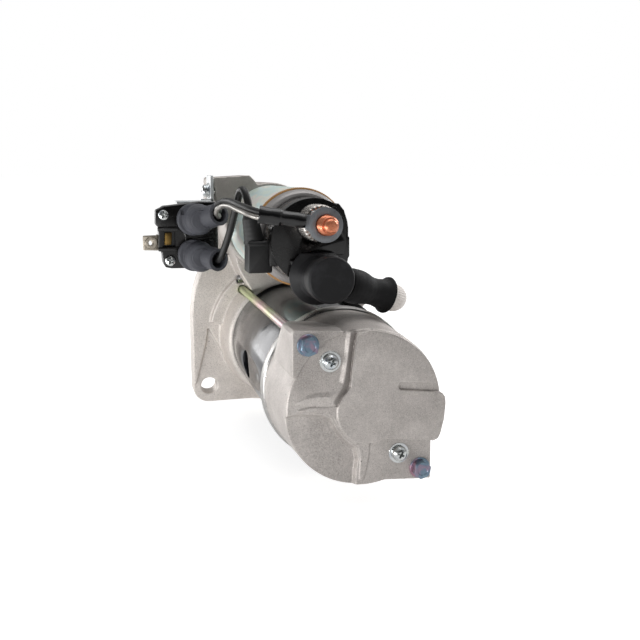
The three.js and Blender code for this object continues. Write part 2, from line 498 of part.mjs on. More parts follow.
// ---------------------------------------------------------------- battery terminal leads
const SLEEVE_A = [-27.2, -210.1, 98.2], SLEEVE_B = [-51.8, -205.5, 102];
{
  const d = new THREE.Vector3(...SLEEVE_B).sub(new THREE.Vector3(...SLEEVE_A)).toArray();
  let m = join(solid(at(tube(9.4, 5.7, -211, -209.2, 28), B_X, 0, B_Z)),
    solid(hull([[-24.6, -211, 91.5], [-24.6, -209.2, 91.5], [-24.6, -211, 100.9], [-24.6, -209.2, 100.9],
      [-27.8, -211, 95.4], [-27.8, -209.2, 95.4], [-27.8, -211, 101], [-27.8, -209.2, 101]])),
    solid(aim(box(-0.9, 0.9, 0, 6, -2.4, 2.4), SLEEVE_A, d)));
  m = cut(m, solid(at(rod(5.7, -215, -205, 20), B_X, 0, B_Z)));
  piece('battery_eyelet', m, 'steel');
}
{
  const a = new THREE.Vector3(...SLEEVE_A), d = new THREE.Vector3(...SLEEVE_B).sub(a), L = d.length();
  let m = solid(turn([[0, 0.6], [3.4, 0.6], [3.6, L * 0.5], [3.9, L * 0.56], [3.9, L], [0, L]], 16));
  m = cut(m, solid(rod(2.75, L - 6, L + 2, 12)), solid(box(-1.3, 1.3, -2, 6.4, -2.8, 2.8)));
  piece('eyelet_sleeve', geometry(m), 'wireBlack');
  const mesh = starter.children[starter.children.length - 1];
  mesh.quaternion.setFromUnitVectors(new THREE.Vector3(0, 1, 0), d.clone().normalize());
  mesh.position.copy(a);
}
{
  // pair of feed wires to the relay, as one flat bundle
  const pts = [[-47.9, -206.2, 101.4], [-51.8, -205.3, 102], [-55.8, -198, 103.4], [-59.4, -182, 105.2], [-61, -164, 106.2],
    [-63, -150, 105.6], [-65.2, -144, 103.6], [-65.1, -140.4, 101], [-63.4, -136.8, 99.3], [-63.3, -133.2, 98.7], [-64.4, -131, 98.3]];
  piece('feed_wires', along(pts, 2, 8, 5), 'wireTin');
}

// ---------------------------------------------------------------- motor terminal lead
const S0 = new THREE.Vector3(-16, -201, 67.4), S1 = new THREE.Vector3(26, -190, 53.6);
const SD = S1.clone().sub(S0).normalize();
{
  let m = solid(at(turn([[0, -219], [10, -219], [11.2, -218], [11.6, -215], [12.3, -187], [12.9, -184.6], [0, -184.6]], 32), M_X, 0, M_Z));
  m = cut(m, solid(at(rod(9.6, -216.5, -180, 28), M_X, 0, M_Z)),
    );
  m = join(m, cut(solid(aim(rod(9.2, 6, 15.4, 20), S0.toArray(), SD.toArray())), solid(at(rod(11, -230, -170, 28), M_X, 0, M_Z))));
  m = cut(m, solid(aim(rod(6.2, 6, 30, 16), S0.toArray(), SD.toArray())));
  piece('motor_terminal_boot', m, 'blackRubber');
}
{
  const L = S0.distanceTo(S1);
  const m = turn([[6.7, 15.8], [9.4, 15.8], [9.4, 23], [8.8, 28], [8.3, 32], [8.2, 39], [8.6, L - 2.6], [9.8, L - 1.5], [9.8, L], [6.7, L]], 20);
  piece('lead_sleeve', aim(m, S0.toArray(), SD.toArray()), 'sleeve');
}
{
  const p = (t) => S0.clone().addScaledVector(SD, t).toArray();
  const pts = [p(10), p(24), p(36), p(44.6), [29.3, -187.4, 52.6], [31.8, -181, 51.4], [33, -168, 50.2], [32.6, -150, 49.6], [31.9, -138, 48.4], [31.4, -129.5, 46.6], [29.8, -123.8, 43.6], [27.6, -122, 40.5], [24.2, -122, 35.6], [22.8, -122, 33.5]];
  piece('motor_lead', along(pts, 6, 10, 6), 'braid');
}
piece('lead_grommet', aim(turn([[6.6, -4], [8.2, -4], [8.2, 0.5], [10.4, 0.5], [9.6, 4.6], [6.6, 4.6]], 18), GROMMET, GROMMET_DIR), 'blackRubber');

// ---------------------------------------------------------------- control lead (solenoid)
{
  let m = solid(box(-53.5, -42.2, -176, -161, 64.5, 85.2));
  m = join(m, solid(box(-49.5, -44, -174, -164, 59, 65)),
    solid(aim(turn([[0, 0], [5.7, 0], [4.6, 13], [3.4, 16.6], [0, 16.6]], 14), [-47.8, -168.4, 84.8], [-0.16, 0, 1])));
  m = cut(m, solid(aim(rod(2.4, 10, 30, 12), [-47.8, -168.4, 84.8], [-0.16, 0, 1])));
  piece('control_connector', m, 'blackPlastic');
}
{
  const pts = [[-49.6, -168.4, 96], [-50.4, -168.3, 101], [-51.1, -167.2, 108], [-52.4, -163.6, 113.2], [-53.6, -158, 113], [-54.6, -152.4, 106.4], [-56.2, -147, 97], [-58.2, -142, 87.4], [-61, -138, 77.6], [-62.6, -136, 73.2], [-63.9, -133.6, 71], [-65, -131.6, 70.9]];
  piece('control_wire', along(pts, 2, 8, 6), 'wireBlack');
}

// ---------------------------------------------------------------- relay
{
  let m = solid(prism([[-95, 63.2], [-62, 63.2], [-60.4, 65], [-60.4, 102.4], [-62, 103.8], [-95, 103.8], [-97, 101.8], [-97, 65.4]], -108, -66));
  // recess of the contact chamber, and the spigots that carry the two boots
  m = cut(m, solid(box(-94, -87, -110, -105, 74, 91)));
  m = join(m, solid(at(rod(5, -116, -107, 16), -75, 0, 94.4)), solid(at(rod(5, -116, -107, 16), -75, 0, 71.8)));
  piece('relay_body', m, 'blackPlastic');
}
const MOUTHS = { relay_boot_upper: [[-75, -116, 94.4], [-62.8, -134, 98.9]], relay_boot_lower: [[-75, -116, 71.9], [-63.7, -134, 71.0]] };
function boot(name) {
  // round cap over the terminal, drawn out towards the rear into a mouth for the wire
  const [c, e] = MOUTHS[name], a = new THREE.Vector3(...c), d = new THREE.Vector3(...e).sub(a), L = d.length();
  const nearRing = (r, y) => circle(c[0], c[2], r, 16).map(([x, z]) => [x, y, z]);
  const mouth = solid(aim(turn([[0, L - 12], [7, L - 12], [5.8, L], [0, L]], 16), c, d.toArray()));
  const v = aim(turn([[0, L - 12], [7, L - 12], [6.9, L - 11.9], [0, L - 11.9]], 16), c, d.toArray()).getAttribute('position');
  const ringPts = Array.from({ length: v.count }, (_, i) => [v.getX(i), v.getY(i), v.getZ(i)]);
  let m = join(solid(hull([...nearRing(9, -110), ...nearRing(9, -119), ...nearRing(6.5, -123), ...ringPts])), mouth);
  m = cut(m, solid(aim(rod(3.9, L - 7.5, L + 4, 14), c, d.toArray())), solid(at(rod(5.4, -117.5, -100, 16), c[0], 0, c[2])));
  piece(name, m, 'greyRubber');
}
boot('relay_boot_upper');
boot('relay_boot_lower');
{
  const m = cut(join(solid(box(-107.5, -97.3, -104.4, -103.2, 74.6, 84.8)), solid(box(-98.5, -97.3, -104.4, -92, 74.6, 84.8))),
    solid(at(rod(1.6, -110, -100, 10), -103.4, 0, 79.7)));
  piece('relay_tab', m, 'tin');
}
{
  let m = join(
    solid(box(-59.2, -57.2, -65.4, -42, 84, 121.5)),
    solid(box(-95, -57.2, -65.4, -63.6, 66, 105.8)),
    solid(box(-95, -60, -106, -64, 104.1, 105.6)));
  const h = rod(2.9, -14, 10, 12); h.rotateZ(Math.PI / 2);
  m = cut(m, solid(at(h, -56, -56, 111)));
  piece('relay_bracket', m, 'zinc');
}
{
  const m = join(solid(turn([[0, -5.6], [2.2, -5.5], [3.9, -4.4], [4.3, -3.2], [4.3, -2.2], [0, -2.2]], 16)), solid(rod(5.2, -2.6, -1.5, 18)), solid(rod(2.4, -2, 8, 10)));
  const g = geometry(m); g.rotateZ(-Math.PI / 2);
  piece('relay_bracket_screw', g, 'zinc').position.set(-58.2, -56, 111);
}

export default starter;
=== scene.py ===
import bpy
import bmesh
import math
import numpy as np
from mathutils import Matrix, Vector, Quaternion, noise as mnoise


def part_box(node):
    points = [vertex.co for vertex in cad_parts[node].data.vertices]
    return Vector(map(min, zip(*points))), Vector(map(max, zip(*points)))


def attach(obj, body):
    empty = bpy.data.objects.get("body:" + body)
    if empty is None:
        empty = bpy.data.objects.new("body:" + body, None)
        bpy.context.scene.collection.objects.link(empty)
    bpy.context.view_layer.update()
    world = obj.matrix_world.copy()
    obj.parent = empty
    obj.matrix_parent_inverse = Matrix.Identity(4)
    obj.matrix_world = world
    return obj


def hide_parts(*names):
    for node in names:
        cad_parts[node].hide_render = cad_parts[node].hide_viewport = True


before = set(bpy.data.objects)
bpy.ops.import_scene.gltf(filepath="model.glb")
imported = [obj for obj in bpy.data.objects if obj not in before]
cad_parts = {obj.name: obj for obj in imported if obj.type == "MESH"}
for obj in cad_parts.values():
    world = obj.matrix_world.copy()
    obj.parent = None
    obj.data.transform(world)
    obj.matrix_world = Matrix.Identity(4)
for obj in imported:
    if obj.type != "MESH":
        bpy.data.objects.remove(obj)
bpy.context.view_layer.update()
scene = bpy.context.scene
MM = 0.001
TAU = 2 * math.pi


# ------------------------------------------------------------------ mesh helpers (all lengths in mm)
def new_obj(name, verts, faces, sharp=35, clean=True):
    me = bpy.data.meshes.new(name)
    me.from_pydata([(v[0] * MM, v[1] * MM, v[2] * MM) for v in verts], [], faces)
    if clean:
        bm = bmesh.new()
        bm.from_mesh(me)
        bmesh.ops.remove_doubles(bm, verts=bm.verts, dist=1e-7)
        bmesh.ops.recalc_face_normals(bm, faces=bm.faces)
        bm.to_mesh(me)
        bm.free()
    me.update()
    o = bpy.data.objects.new(name, me)
    scene.collection.objects.link(o)
    shade(o, sharp)
    return o


def shade(o, sharp=35):
    me = o.data
    if sharp is None:
        me.shade_smooth()
        return
    me.shade_smooth()
    me.set_sharp_from_angle(angle=math.radians(sharp))


def apply(o):
    dg = bpy.context.evaluated_depsgraph_get()
    me = bpy.data.meshes.new_from_object(o.evaluated_get(dg))
    o.modifiers.clear()
    old = o.data
    o.data = me
    bpy.data.meshes.remove(old)


def drop(o):
    me = o.data
    bpy.data.objects.remove(o)
    bpy.data.meshes.remove(me)


def boolean(a, b, op="DIFFERENCE"):
    m = a.modifiers.new("b", "BOOLEAN")
    m.operation = op
    m.object = b
    m.solver = "EXACT"
    apply(a)
    drop(b)
    return a


def cut_all(a, cutters, spend=True):
    """Take several shapes away in one pass."""
    col = bpy.data.collections.new("cutters")
    for c in cutters:
        for k in list(c.users_collection):
            k.objects.unlink(c)
        col.objects.link(c)
    scene.collection.children.link(col)
    m = a.modifiers.new("b", "BOOLEAN")
    m.operation = "DIFFERENCE"
    m.operand_type = "COLLECTION"
    m.collection = col
    m.solver = "EXACT"
    apply(a)
    bpy.data.collections.remove(col)
    if spend:
        for c in cutters:
            drop(c)
    return a


def join(name, objs):
    verts, faces = [], []
    for o in objs:
        n = len(verts)
        verts += [tuple(v.co / MM) for v in o.data.vertices]
        faces += [[n + i for i in p.vertices] for p in o.data.polygons]
        drop(o)
    return new_obj(name, verts, faces, clean=False)


def melt(o, voxel, smooth=4, ratio=None, sharp=None):
    """Remesh a set of overlapping closed shapes into one skin with soft fillets."""
    m = o.modifiers.new("r", "REMESH")
    m.mode = "VOXEL"
    m.voxel_size = voxel * MM
    m.adaptivity = 0
    if smooth:
        s = o.modifiers.new("s", "SMOOTH")
        s.factor = 0.5
        s.iterations = smooth
    if ratio:
        d = o.modifiers.new("d", "DECIMATE")
        d.ratio = ratio
    apply(o)
    shade(o, sharp)
    return o


def bevel(o, width, segments=2, angle=32, sharp=35):
    m = o.modifiers.new("v", "BEVEL")
    m.width = width * MM
    m.segments = segments
    m.limit_method = "ANGLE"
    m.angle_limit = math.radians(angle)
    m.miter_outer = "MITER_ARC"
    apply(o)
    shade(o, sharp)
    return o


def round2d(pts, r, n=4, closed=True):
    out = []
    N = len(pts)
    for i, p in enumerate(pts):
        if not closed and (i == 0 or i == N - 1):
            out.append(tuple(p))
            continue
        a, b = Vector(pts[i - 1]), Vector(pts[(i + 1) % N])
        p = Vector(p)
        u, v = (a - p), (b - p)
        lu, lv = u.length, v.length
        rr = r[i] if isinstance(r, (list, tuple)) else r
        if lu < 1e-6 or lv < 1e-6 or rr <= 0:
            out.append(tuple(p))
            continue
        ang = u.angle(v)
        if ang > math.radians(172):
            out.append(tuple(p))
            continue
        t = min(rr / math.tan(ang / 2), lu * 0.48, lv * 0.48)
        p0, p1 = p + u / lu * t, p + v / lv * t
        for k in range(n + 1):
            s = k / n
            out.append(tuple((1 - s) ** 2 * p0 + 2 * s * (1 - s) * p + s * s * p1))
    return out


def lathe(name, profile, seg=96, cx=0, cz=0, r=0.25, n=3, sharp=40):
    """Solid of revolution about a line along Y; the profile is a closed loop of (radius, y)."""
    on_axis = profile[0][0] == 0 and profile[-1][0] == 0
    prof = round2d(profile, r, n, closed=not on_axis) if r else [tuple(p) for p in profile]
    verts, rings, faces = [], [], []
    for rad, y in prof:
        if rad < 1e-6:
            rings.append([len(verts)])
            verts.append((cx, y, cz))
        else:
            rings.append(list(range(len(verts), len(verts) + seg)))
            verts += [(cx + rad * math.cos(TAU * i / seg), y, cz + rad * math.sin(TAU * i / seg)) for i in range(seg)]
    m = len(rings)
    for k in range(m - 1 if on_axis else m):
        A, B = rings[k], rings[(k + 1) % m]
        for i in range(seg):
            j = (i + 1) % seg
            if len(A) == 1 and len(B) == 1:
                break
            if len(A) == 1:
                faces.append([A[0], B[j], B[i]])
            elif len(B) == 1:
                faces.append([A[i], A[j], B[0]])
            else:
                faces.append([A[i], A[j], B[j], B[i]])
    return new_obj(name, verts, faces, sharp)


def tube(name, ro, ri, y0, y1, seg=96, cx=0, cz=0, r=0.25):
    return lathe(name, [(ri, y0), (ro, y0), (ro, y1), (ri, y1)], seg, cx, cz, r)


def rod(name, rad, y0, y1, seg=48, cx=0, cz=0, r=0.0, r2=None):
    r2 = rad if r2 is None else r2
    return lathe(name, [(0, y0), (rad, y0), (r2, y1), (0, y1)], seg, cx, cz, r)


def prism(name, pts, y0, y1, top=None, sharp=35):
    """Outline of (x, z) carried along Y; top is the outline at y1 if it differs."""
    n = len(pts)
    top = top or pts
    verts = [(x, y0, z) for x, z in pts] + [(x, y1, z) for x, z in top]
    faces = [list(range(n)), [n + i for i in reversed(range(n))]]
    faces += [[i, (i + 1) % n, n + (i + 1) % n, n + i] for i in range(n)]
    return new_obj(name, verts, faces, sharp)


def block(name, x0, x1, y0, y1, z0, z1):
    return prism(name, [(x0, z0), (x1, z0), (x1, z1), (x0, z1)], y0, y1)


def hull(name, pts, sharp=35):
    bm = bmesh.new()
    for p in pts:
        bm.verts.new(Vector(p) * MM)
    g = bmesh.ops.convex_hull(bm, input=bm.verts)
    bmesh.ops.delete(bm, geom=[v for v in bm.verts if not v.link_faces], context="VERTS")
    bmesh.ops.recalc_face_normals(bm, faces=bm.faces)
    me = bpy.data.meshes.new(name)
    bm.to_mesh(me)
    bm.free()
    o = bpy.data.objects.new(name, me)
    scene.collection.objects.link(o)
    shade(o, sharp)
    return o


def circle(cx, cz, r, n=48, a0=0.0):
    return [(cx + r * math.cos(a0 + TAU * i / n), cz + r * math.sin(a0 + TAU * i / n)) for i in range(n)]


def arc(cx, cz, r, a0, a1, n):
    return [(cx + r * math.cos(math.radians(a0 + (a1 - a0) * i / n)), cz + r * math.sin(math.radians(a0 + (a1 - a0) * i / n))) for i in range(n + 1)]


def place(o, origin, direction, up=None):
    """Lay a piece whose axis is +Y from the origin along a direction."""
    d = Vector(direction).normalized()
    q = Vector((0, 1, 0)).rotation_difference(d)
    M = Matrix.Translation(Vector(origin) * MM) @ q.to_matrix().to_4x4()
    o.data.transform(M)
    return o


def move(o, x, y, z):
    o.data.transform(Matrix.Translation(Vector((x, y, z)) * MM))
    return o


def turn_about(o, axis, deg, centre=(0, 0, 0)):
    c = Vector(centre) * MM
    o.data.transform(Matrix.Translation(c) @ Matrix.Rotation(math.radians(deg), 4, axis) @ Matrix.Translation(-c))
    return o


def spline(pts, step=0.8):
    """Dense centripetal Catmull-Rom samples through the points."""
    P = [Vector(p) for p in pts]
    P = [P[0] * 2 - P[1]] + P + [P[-1] * 2 - P[-2]]
    out, params = [], []
    for i in range(1, len(P) - 2):
        p0, p1, p2, p3 = P[i - 1:i + 3]
        t0 = 0
        t1 = t0 + max((p1 - p0).length, 1e-6) ** 0.5
        t2 = t1 + max((p2 - p1).length, 1e-6) ** 0.5
        t3 = t2 + max((p3 - p2).length, 1e-6) ** 0.5
        n = max(2, int((p2 - p1).length / step))
        for k in range(n):
            t = t1 + (t2 - t1) * k / n
            a1 = p0 * ((t1 - t) / (t1 - t0)) + p1 * ((t - t0) / (t1 - t0))
            a2 = p1 * ((t2 - t) / (t2 - t1)) + p2 * ((t - t1) / (t2 - t1))
            a3 = p2 * ((t3 - t) / (t3 - t2)) + p3 * ((t - t2) / (t3 - t2))
            b1 = a1 * ((t2 - t) / (t2 - t0)) + a2 * ((t - t0) / (t2 - t0))
            b2 = a2 * ((t3 - t) / (t3 - t1)) + a3 * ((t - t1) / (t3 - t1))
            out.append(b1 * ((t2 - t) / (t2 - t1)) + b2 * ((t - t1) / (t2 - t1)))
            params.append(i - 1 + k / n)
    out.append(P[-2])
    params.append(len(pts) - 1.0)
    return out, params


def sweep(name, pts, radius, seg=28, step=0.8, section=None, sharp=50, smooth_path=True, cap=0.0):
    """Round bar along a route. radius is a number or one number per point; section(i, angle, s) scales it."""
    if smooth_path:
        C, par = spline(pts, step)
    else:
        C, par = [Vector(p) for p in pts], list(range(len(pts)))
    rad = (lambda t: radius) if not isinstance(radius, (list, tuple)) else (lambda t: float(np.interp(t, range(len(radius)), radius)))
    n = len(C)
    T = [(C[min(i + 1, n - 1)] - C[max(i - 1, 0)]).normalized() for i in range(n)]
    ref = Vector((0, 0, 1)) if abs(T[0].z) < 0.9 else Vector((1, 0, 0))
    U = (ref - T[0] * ref.dot(T[0])).normalized()
    verts, dist = [], 0.0
    frames = []
    for i in range(n):
        if i:
            U = (T[i - 1].rotation_difference(T[i]) @ U)
            U = (U - T[i] * U.dot(T[i])).normalized()
            dist += (C[i] - C[i - 1]).length
        frames.append((C[i], T[i], U.copy(), dist, rad(par[i])))
    rows = []
    def ring(c, t, u, d, r, shrink=1.0, push=0.0):
        w = t.cross(u)
        idx = []
        for k in range(seg):
            a = TAU * k / seg
            q = r * shrink * (section(d, a) if section else 1.0)
            idx.append(len(verts))
            verts.append(tuple(c + t * push + u * (q * math.cos(a)) + w * (q * math.sin(a))))
        rows.append(idx)
    if cap:
        c, t, u, d, r = frames[0]
        for k in range(4):
            s = (k + 1) / 5
            ring(c, t, u, d, r, math.sin(s * math.pi / 2), -cap * math.cos(s * math.pi / 2))
    for f in frames:
        ring(*f)
    if cap:
        c, t, u, d, r = frames[-1]
        for k in range(4):
            s = (k + 1) / 5
            ring(c, t, u, d, r, math.cos(s * math.pi / 2), cap * math.sin(s * math.pi / 2))
    faces = [[A[k], A[(k + 1) % seg], B[(k + 1) % seg], B[k]] for A, B in zip(rows, rows[1:]) for k in range(seg)]
    faces += [rows[0][::-1], rows[-1]]
    return new_obj(name, verts, faces, sharp)


def sheath(name, pts, r_out, r_in, seg=40, step=0.8, section=None, sharp=50):
    """Open tube with a wall along a route; radii are one number per point."""
    C, par = spline(pts, step)
    n = len(C)
    ro = lambda t: float(np.interp(t, range(len(r_out)), r_out))
    ri = lambda t: float(np.interp(t, range(len(r_in)), r_in))
    T = [(C[min(i + 1, n - 1)] - C[max(i - 1, 0)]).normalized() for i in range(n)]
    ref = Vector((0, 0, 1)) if abs(T[0].z) < 0.9 else Vector((1, 0, 0))
    U = (ref - T[0] * ref.dot(T[0])).normalized()
    verts, outer, inner, dist = [], [], [], 0.0
    for i in range(n):
        if i:
            U = (T[i - 1].rotation_difference(T[i]) @ U)
            U = (U - T[i] * U.dot(T[i])).normalized()
            dist += (C[i] - C[i - 1]).length
        W = T[i].cross(U)
        for rows, q in ((outer, ro(par[i])), (inner, ri(par[i]))):
            idx = []
            for k in range(seg):
                a = TAU * k / seg
                s = section(dist, a) if (section and rows is outer) else 1.0
                idx.append(len(verts))
                verts.append(tuple(C[i] + U * (q * s * math.cos(a)) + W * (q * s * math.sin(a))))
            rows.append(idx)
    loop = outer + inner[::-1]
    faces = [[A[k], A[(k + 1) % seg], B[(k + 1) % seg], B[k]] for A, B in zip(loop, loop[1:] + loop[:1]) for k in range(seg)]
    return new_obj(name, verts, faces, sharp)


def grid_turned(name, fn, y0, y1, ny, seg, cx=0, cz=0, inner=0.0, sharp=60, origin=None, direction=None):
    """Turned body whose radius is fn(y, angle), for knurls, threads and ribs."""
    verts, rows = [], []
    for j in range(ny + 1):
        y = y0 + (y1 - y0) * j / ny
        idx = []
        for i in range(seg):
            a = TAU * i / seg
            q = fn(y, a)
            idx.append(len(verts))
            verts.append((cx + q * math.cos(a), y, cz + q * math.sin(a)))
        rows.append(idx)
    if inner:
        for y in (y1, y0):
            idx = []
            for i in range(seg):
                a = TAU * i / seg
                idx.append(len(verts))
                verts.append((cx + inner * math.cos(a), y, cz + inner * math.sin(a)))
            rows.append(idx)
        rows.append(rows[0])
    faces = [[A[k], A[(k + 1) % seg], B[(k + 1) % seg], B[k]] for A, B in zip(rows, rows[1:]) for k in range(seg)]
    if not inner:
        faces += [rows[0][::-1], rows[-1]]
    return new_obj(name, verts, faces, sharp)


# ------------------------------------------------------------------ materials
def srgb(r, g, b):
    f = lambda v: v / 12.92 if v <= 0.04045 else ((v + 0.055) / 1.055) ** 2.4
    return (f(r / 255), f(g / 255), f(b / 255), 1.0)


class Graph:
    def __init__(self, name):
        self.m = bpy.data.materials.new(name)
        self.m.use_nodes = True
        self.t = self.m.node_tree
        self.t.nodes.clear()
        self.out = self.t.nodes.new("ShaderNodeOutputMaterial")
        self.b = self.t.nodes.new("ShaderNodeBsdfPrincipled")
        self.t.links.new(self.b.outputs[0], self.out.inputs[0])
        self.coord = self.t.nodes.new("ShaderNodeTexCoord")

    def link(self, a, b):
        self.t.links.new(a, b)

    def vec(self, scale=(1, 1, 1), offset=(0, 0, 0), rot=(0, 0, 0)):
        n = self.t.nodes.new("ShaderNodeMapping")
        n.inputs["Location"].default_value = offset
        n.inputs["Rotation"].default_value = rot
        n.inputs["Scale"].default_value = tuple(1000 * s for s in scale)
        self.link(self.coord.outputs["Object"], n.inputs["Vector"])
        return n.outputs[0]

    def math(self, op, a, b=None, clamp=False):
        n = self.t.nodes.new("ShaderNodeMath")
        n.operation = op
        n.use_clamp = clamp
        for i, v in enumerate((a, b)):
            if v is None:
                continue
            if isinstance(v, (int, float)):
                n.inputs[i].default_value = v
            else:
                self.link(v, n.inputs[i])
        return n.outputs[0]

    def polar(self, cx=0, cz=0, ka=1.0, ky=1.0, kr=1.0):
        """(angle, y, radius) about a line along Y, scaled; lengths in mm."""
        s = self.t.nodes.new("ShaderNodeSeparateXYZ")
        self.link(self.coord.outputs["Object"], s.inputs[0])
        x = self.math("SUBTRACT", s.outputs[0], cx * MM)
        z = self.math("SUBTRACT", s.outputs[2], cz * MM)
        r = self.math("SQRT", self.math("ADD", self.math("MULTIPLY", x, x), self.math("MULTIPLY", z, z)))
        c = self.t.nodes.new("ShaderNodeCombineXYZ")
        # the cosine x/r stands in for the angle; it avoids a seam when only a coarse variation is wanted round the axis
        self.link(self.math("MULTIPLY", self.math("DIVIDE", x, self.math("ADD", r, 1e-6)), ka), c.inputs[0])
        self.link(self.math("MULTIPLY", s.outputs[1], ky * 1000), c.inputs[1])
        self.link(self.math("MULTIPLY", r, kr * 1000), c.inputs[2])
        return c.outputs[0]

    def noise(self, vec, scale=1.0, detail=3.0, rough=0.55, distort=0.0):
        n = self.t.nodes.new("ShaderNodeTexNoise")
        n.inputs["Scale"].default_value = scale
        n.inputs["Detail"].default_value = detail
        n.inputs["Roughness"].default_value = rough
        n.inputs["Distortion"].default_value = distort
        self.link(vec, n.inputs["Vector"])
        return n.outputs["Fac"]

    def voronoi(self, vec, scale=1.0, feature="F1"):
        n = self.t.nodes.new("ShaderNodeTexVoronoi")
        n.feature = feature
        n.inputs["Scale"].default_value = scale
        self.link(vec, n.inputs["Vector"])
        return n.outputs["Distance"]

    def wave(self, vec, scale=1.0, distort=0.0, direction="X", detail=2.0):
        n = self.t.nodes.new("ShaderNodeTexWave")
        n.bands_direction = direction
        n.inputs["Scale"].default_value = scale
        n.inputs["Distortion"].default_value = distort
        n.inputs["Detail"].default_value = detail
        self.link(vec, n.inputs["Vector"])
        return n.outputs["Fac"]

    def ramp(self, fac, stops):
        n = self.t.nodes.new("ShaderNodeValToRGB")
        e = n.color_ramp.elements
        while len(e) < len(stops):
            e.new(0.5)
        for el, (p, c) in zip(e, stops):
            el.position = p
            el.color = c if len(c) == 4 else (*c, 1)
        self.link(fac, n.inputs[0])
        return n.outputs[0]

    def band(self, fac, lo, hi, a=0.0, b=1.0):
        n = self.t.nodes.new("ShaderNodeMapRange")
        n.clamp = True
        for i, v in enumerate((lo, hi, a, b)):
            n.inputs[i + 1].default_value = v
        self.link(fac, n.inputs[0])
        return n.outputs[0]

    def mix(self, fac, a, b, mode="MIX"):
        n = self.t.nodes.new("ShaderNodeMix")
        n.data_type = "RGBA"
        n.blend_type = mode
        for sock, v in ((n.inputs[0], fac), (n.inputs[6], a), (n.inputs[7], b)):
            if isinstance(v, (int, float, tuple)):
                sock.default_value = v
            else:
                self.link(v, sock)
        return n.outputs[2]

    def bump(self, heights):
        """heights: (socket, depth in mm); chained bumps."""
        prev = None
        for h, depth in heights:
            n = self.t.nodes.new("ShaderNodeBump")
            n.inputs["Strength"].default_value = 1.0
            n.inputs["Distance"].default_value = depth * MM
            self.link(h, n.inputs["Height"])
            if prev is not None:
                self.link(prev, n.inputs["Normal"])
            prev = n.outputs[0]
        self.link(prev, self.b.inputs["Normal"])

    def set(self, **kw):
        for k, v in kw.items():
            s = self.b.inputs[k.replace("_", " ")]
            if hasattr(v, "is_output") or isinstance(v, bpy.types.NodeSocket):
                self.link(v, s)
            else:
                s.default_value = v
        return self


def cast_metal(name, base, dark, light, grain=1.0, rough=0.5, metal=0.55, corner_dust_and_shade=0.8, shade_z=False, edge=0.45, groove=None):
    g = Graph(name)
    p = g.vec()
    blot = g.noise(p, 0.045, 4, 0.6)
    fine = g.noise(p, 1.5 * grain, 3, 0.7)
    mid = g.noise(p, 0.45 * grain, 3, 0.6)
    c = g.ramp(blot, [(0.3, dark), (0.52, base), (0.74, light)])
    c = g.mix(g.band(fine, 0.35, 0.65, 0.0, 0.7), c, light)
    c = g.mix(g.band(g.noise(p, 2.0 * grain, 2, 0.6), 0.54, 0.66, 0.0, 0.55), c, srgb(116, 109, 104))
    c = g.mix(g.band(mid, 0.42, 0.62, 0.25, 0.0), c, dark)
    # light rub marks and small dark pits
    rub = g.noise(g.vec((0.5, 0.5, 0.06), rot=(0, 0.62, 0)), 1.0, 5, 0.65)
    c = g.mix(g.band(rub, 0.62, 0.78, 0.0, 0.32), c, light)
    pits = g.voronoi(p, 0.11)
    c = g.mix(g.band(pits, 0.035, 0.055, 0.75, 0.0), c, srgb(62, 55, 52))
    # oil and dust in the corners, darkened there also as painted shade; light rubbed edges, lightened also as a painted
    # highlight
    geo = g.t.nodes.new("ShaderNodeNewGeometry")
    point = geo.outputs["Pointiness"]
    c = g.mix(g.band(point, 0.405, 0.487, corner_dust_and_shade, 0.0), c, srgb(66, 60, 57))
    c = g.mix(g.band(point, 0.512, 0.56, 0.0, edge), c, light)
    if groove:
        # painted shade: the cover's face is darkened along the bottom of the curved groove, where the slope beside the
        # ridge lies in shade
        xyz = g.t.nodes.new("ShaderNodeSeparateXYZ")
        g.link(g.coord.outputs["Object"], xyz.inputs[0])
        m = g.math
        near = None
        for (ax, az), (bx, bz) in zip(groove, groove[1:]):
            dx, dz = bx - ax, bz - az
            u = m("SUBTRACT", m("MULTIPLY", xyz.outputs[0], 1000.0), ax)
            w = m("SUBTRACT", m("MULTIPLY", xyz.outputs[2], 1000.0), az)
            k = m("DIVIDE", m("ADD", m("MULTIPLY", u, dx), m("MULTIPLY", w, dz)), dx * dx + dz * dz)
            k = m("MAXIMUM", m("MINIMUM", k, 1.0), 0.0)
            d = m("SQRT", m("ADD", m("POWER", m("SUBTRACT", u, m("MULTIPLY", k, dx)), 2.0), m("POWER", m("SUBTRACT", w, m("MULTIPLY", k, dz)), 2.0)))
            near = d if near is None else m("MINIMUM", near, d)
        near = m("ADD", near, m("MULTIPLY", mid, 0.5))
        face = g.band(m("MULTIPLY", xyz.outputs[1], 1000.0), -227.9, -227.0, 1.0, 0.0)
        c = g.mix(m("MULTIPLY", g.band(near, 1.5, 2.6, 0.58, 0.0), face), c, srgb(88, 81, 77))
    if shade_z:
        # painted shade: darker towards the top of the casting, above z≈44 mm, where the relay and solenoid shade it
        s = g.t.nodes.new("ShaderNodeSeparateXYZ")
        g.link(g.coord.outputs["Object"], s.inputs[0])
        up = g.math("ADD", g.math("MULTIPLY", s.outputs[2], 1000.0), g.math("MULTIPLY", blot, 20.0))
        c = g.mix(g.band(up, 44, 80, 0.0, 0.40), c, srgb(84, 78, 74))
    g.set(Base_Color=c, Metallic=metal, Roughness=g.band(mid, 0.3, 0.7, rough - 0.06, rough + 0.1))
    g.bump([(mid, 0.08), (fine, 0.11), (g.noise(p, 2.6 * grain, 2, 0.6), 0.045)])
    return g.m


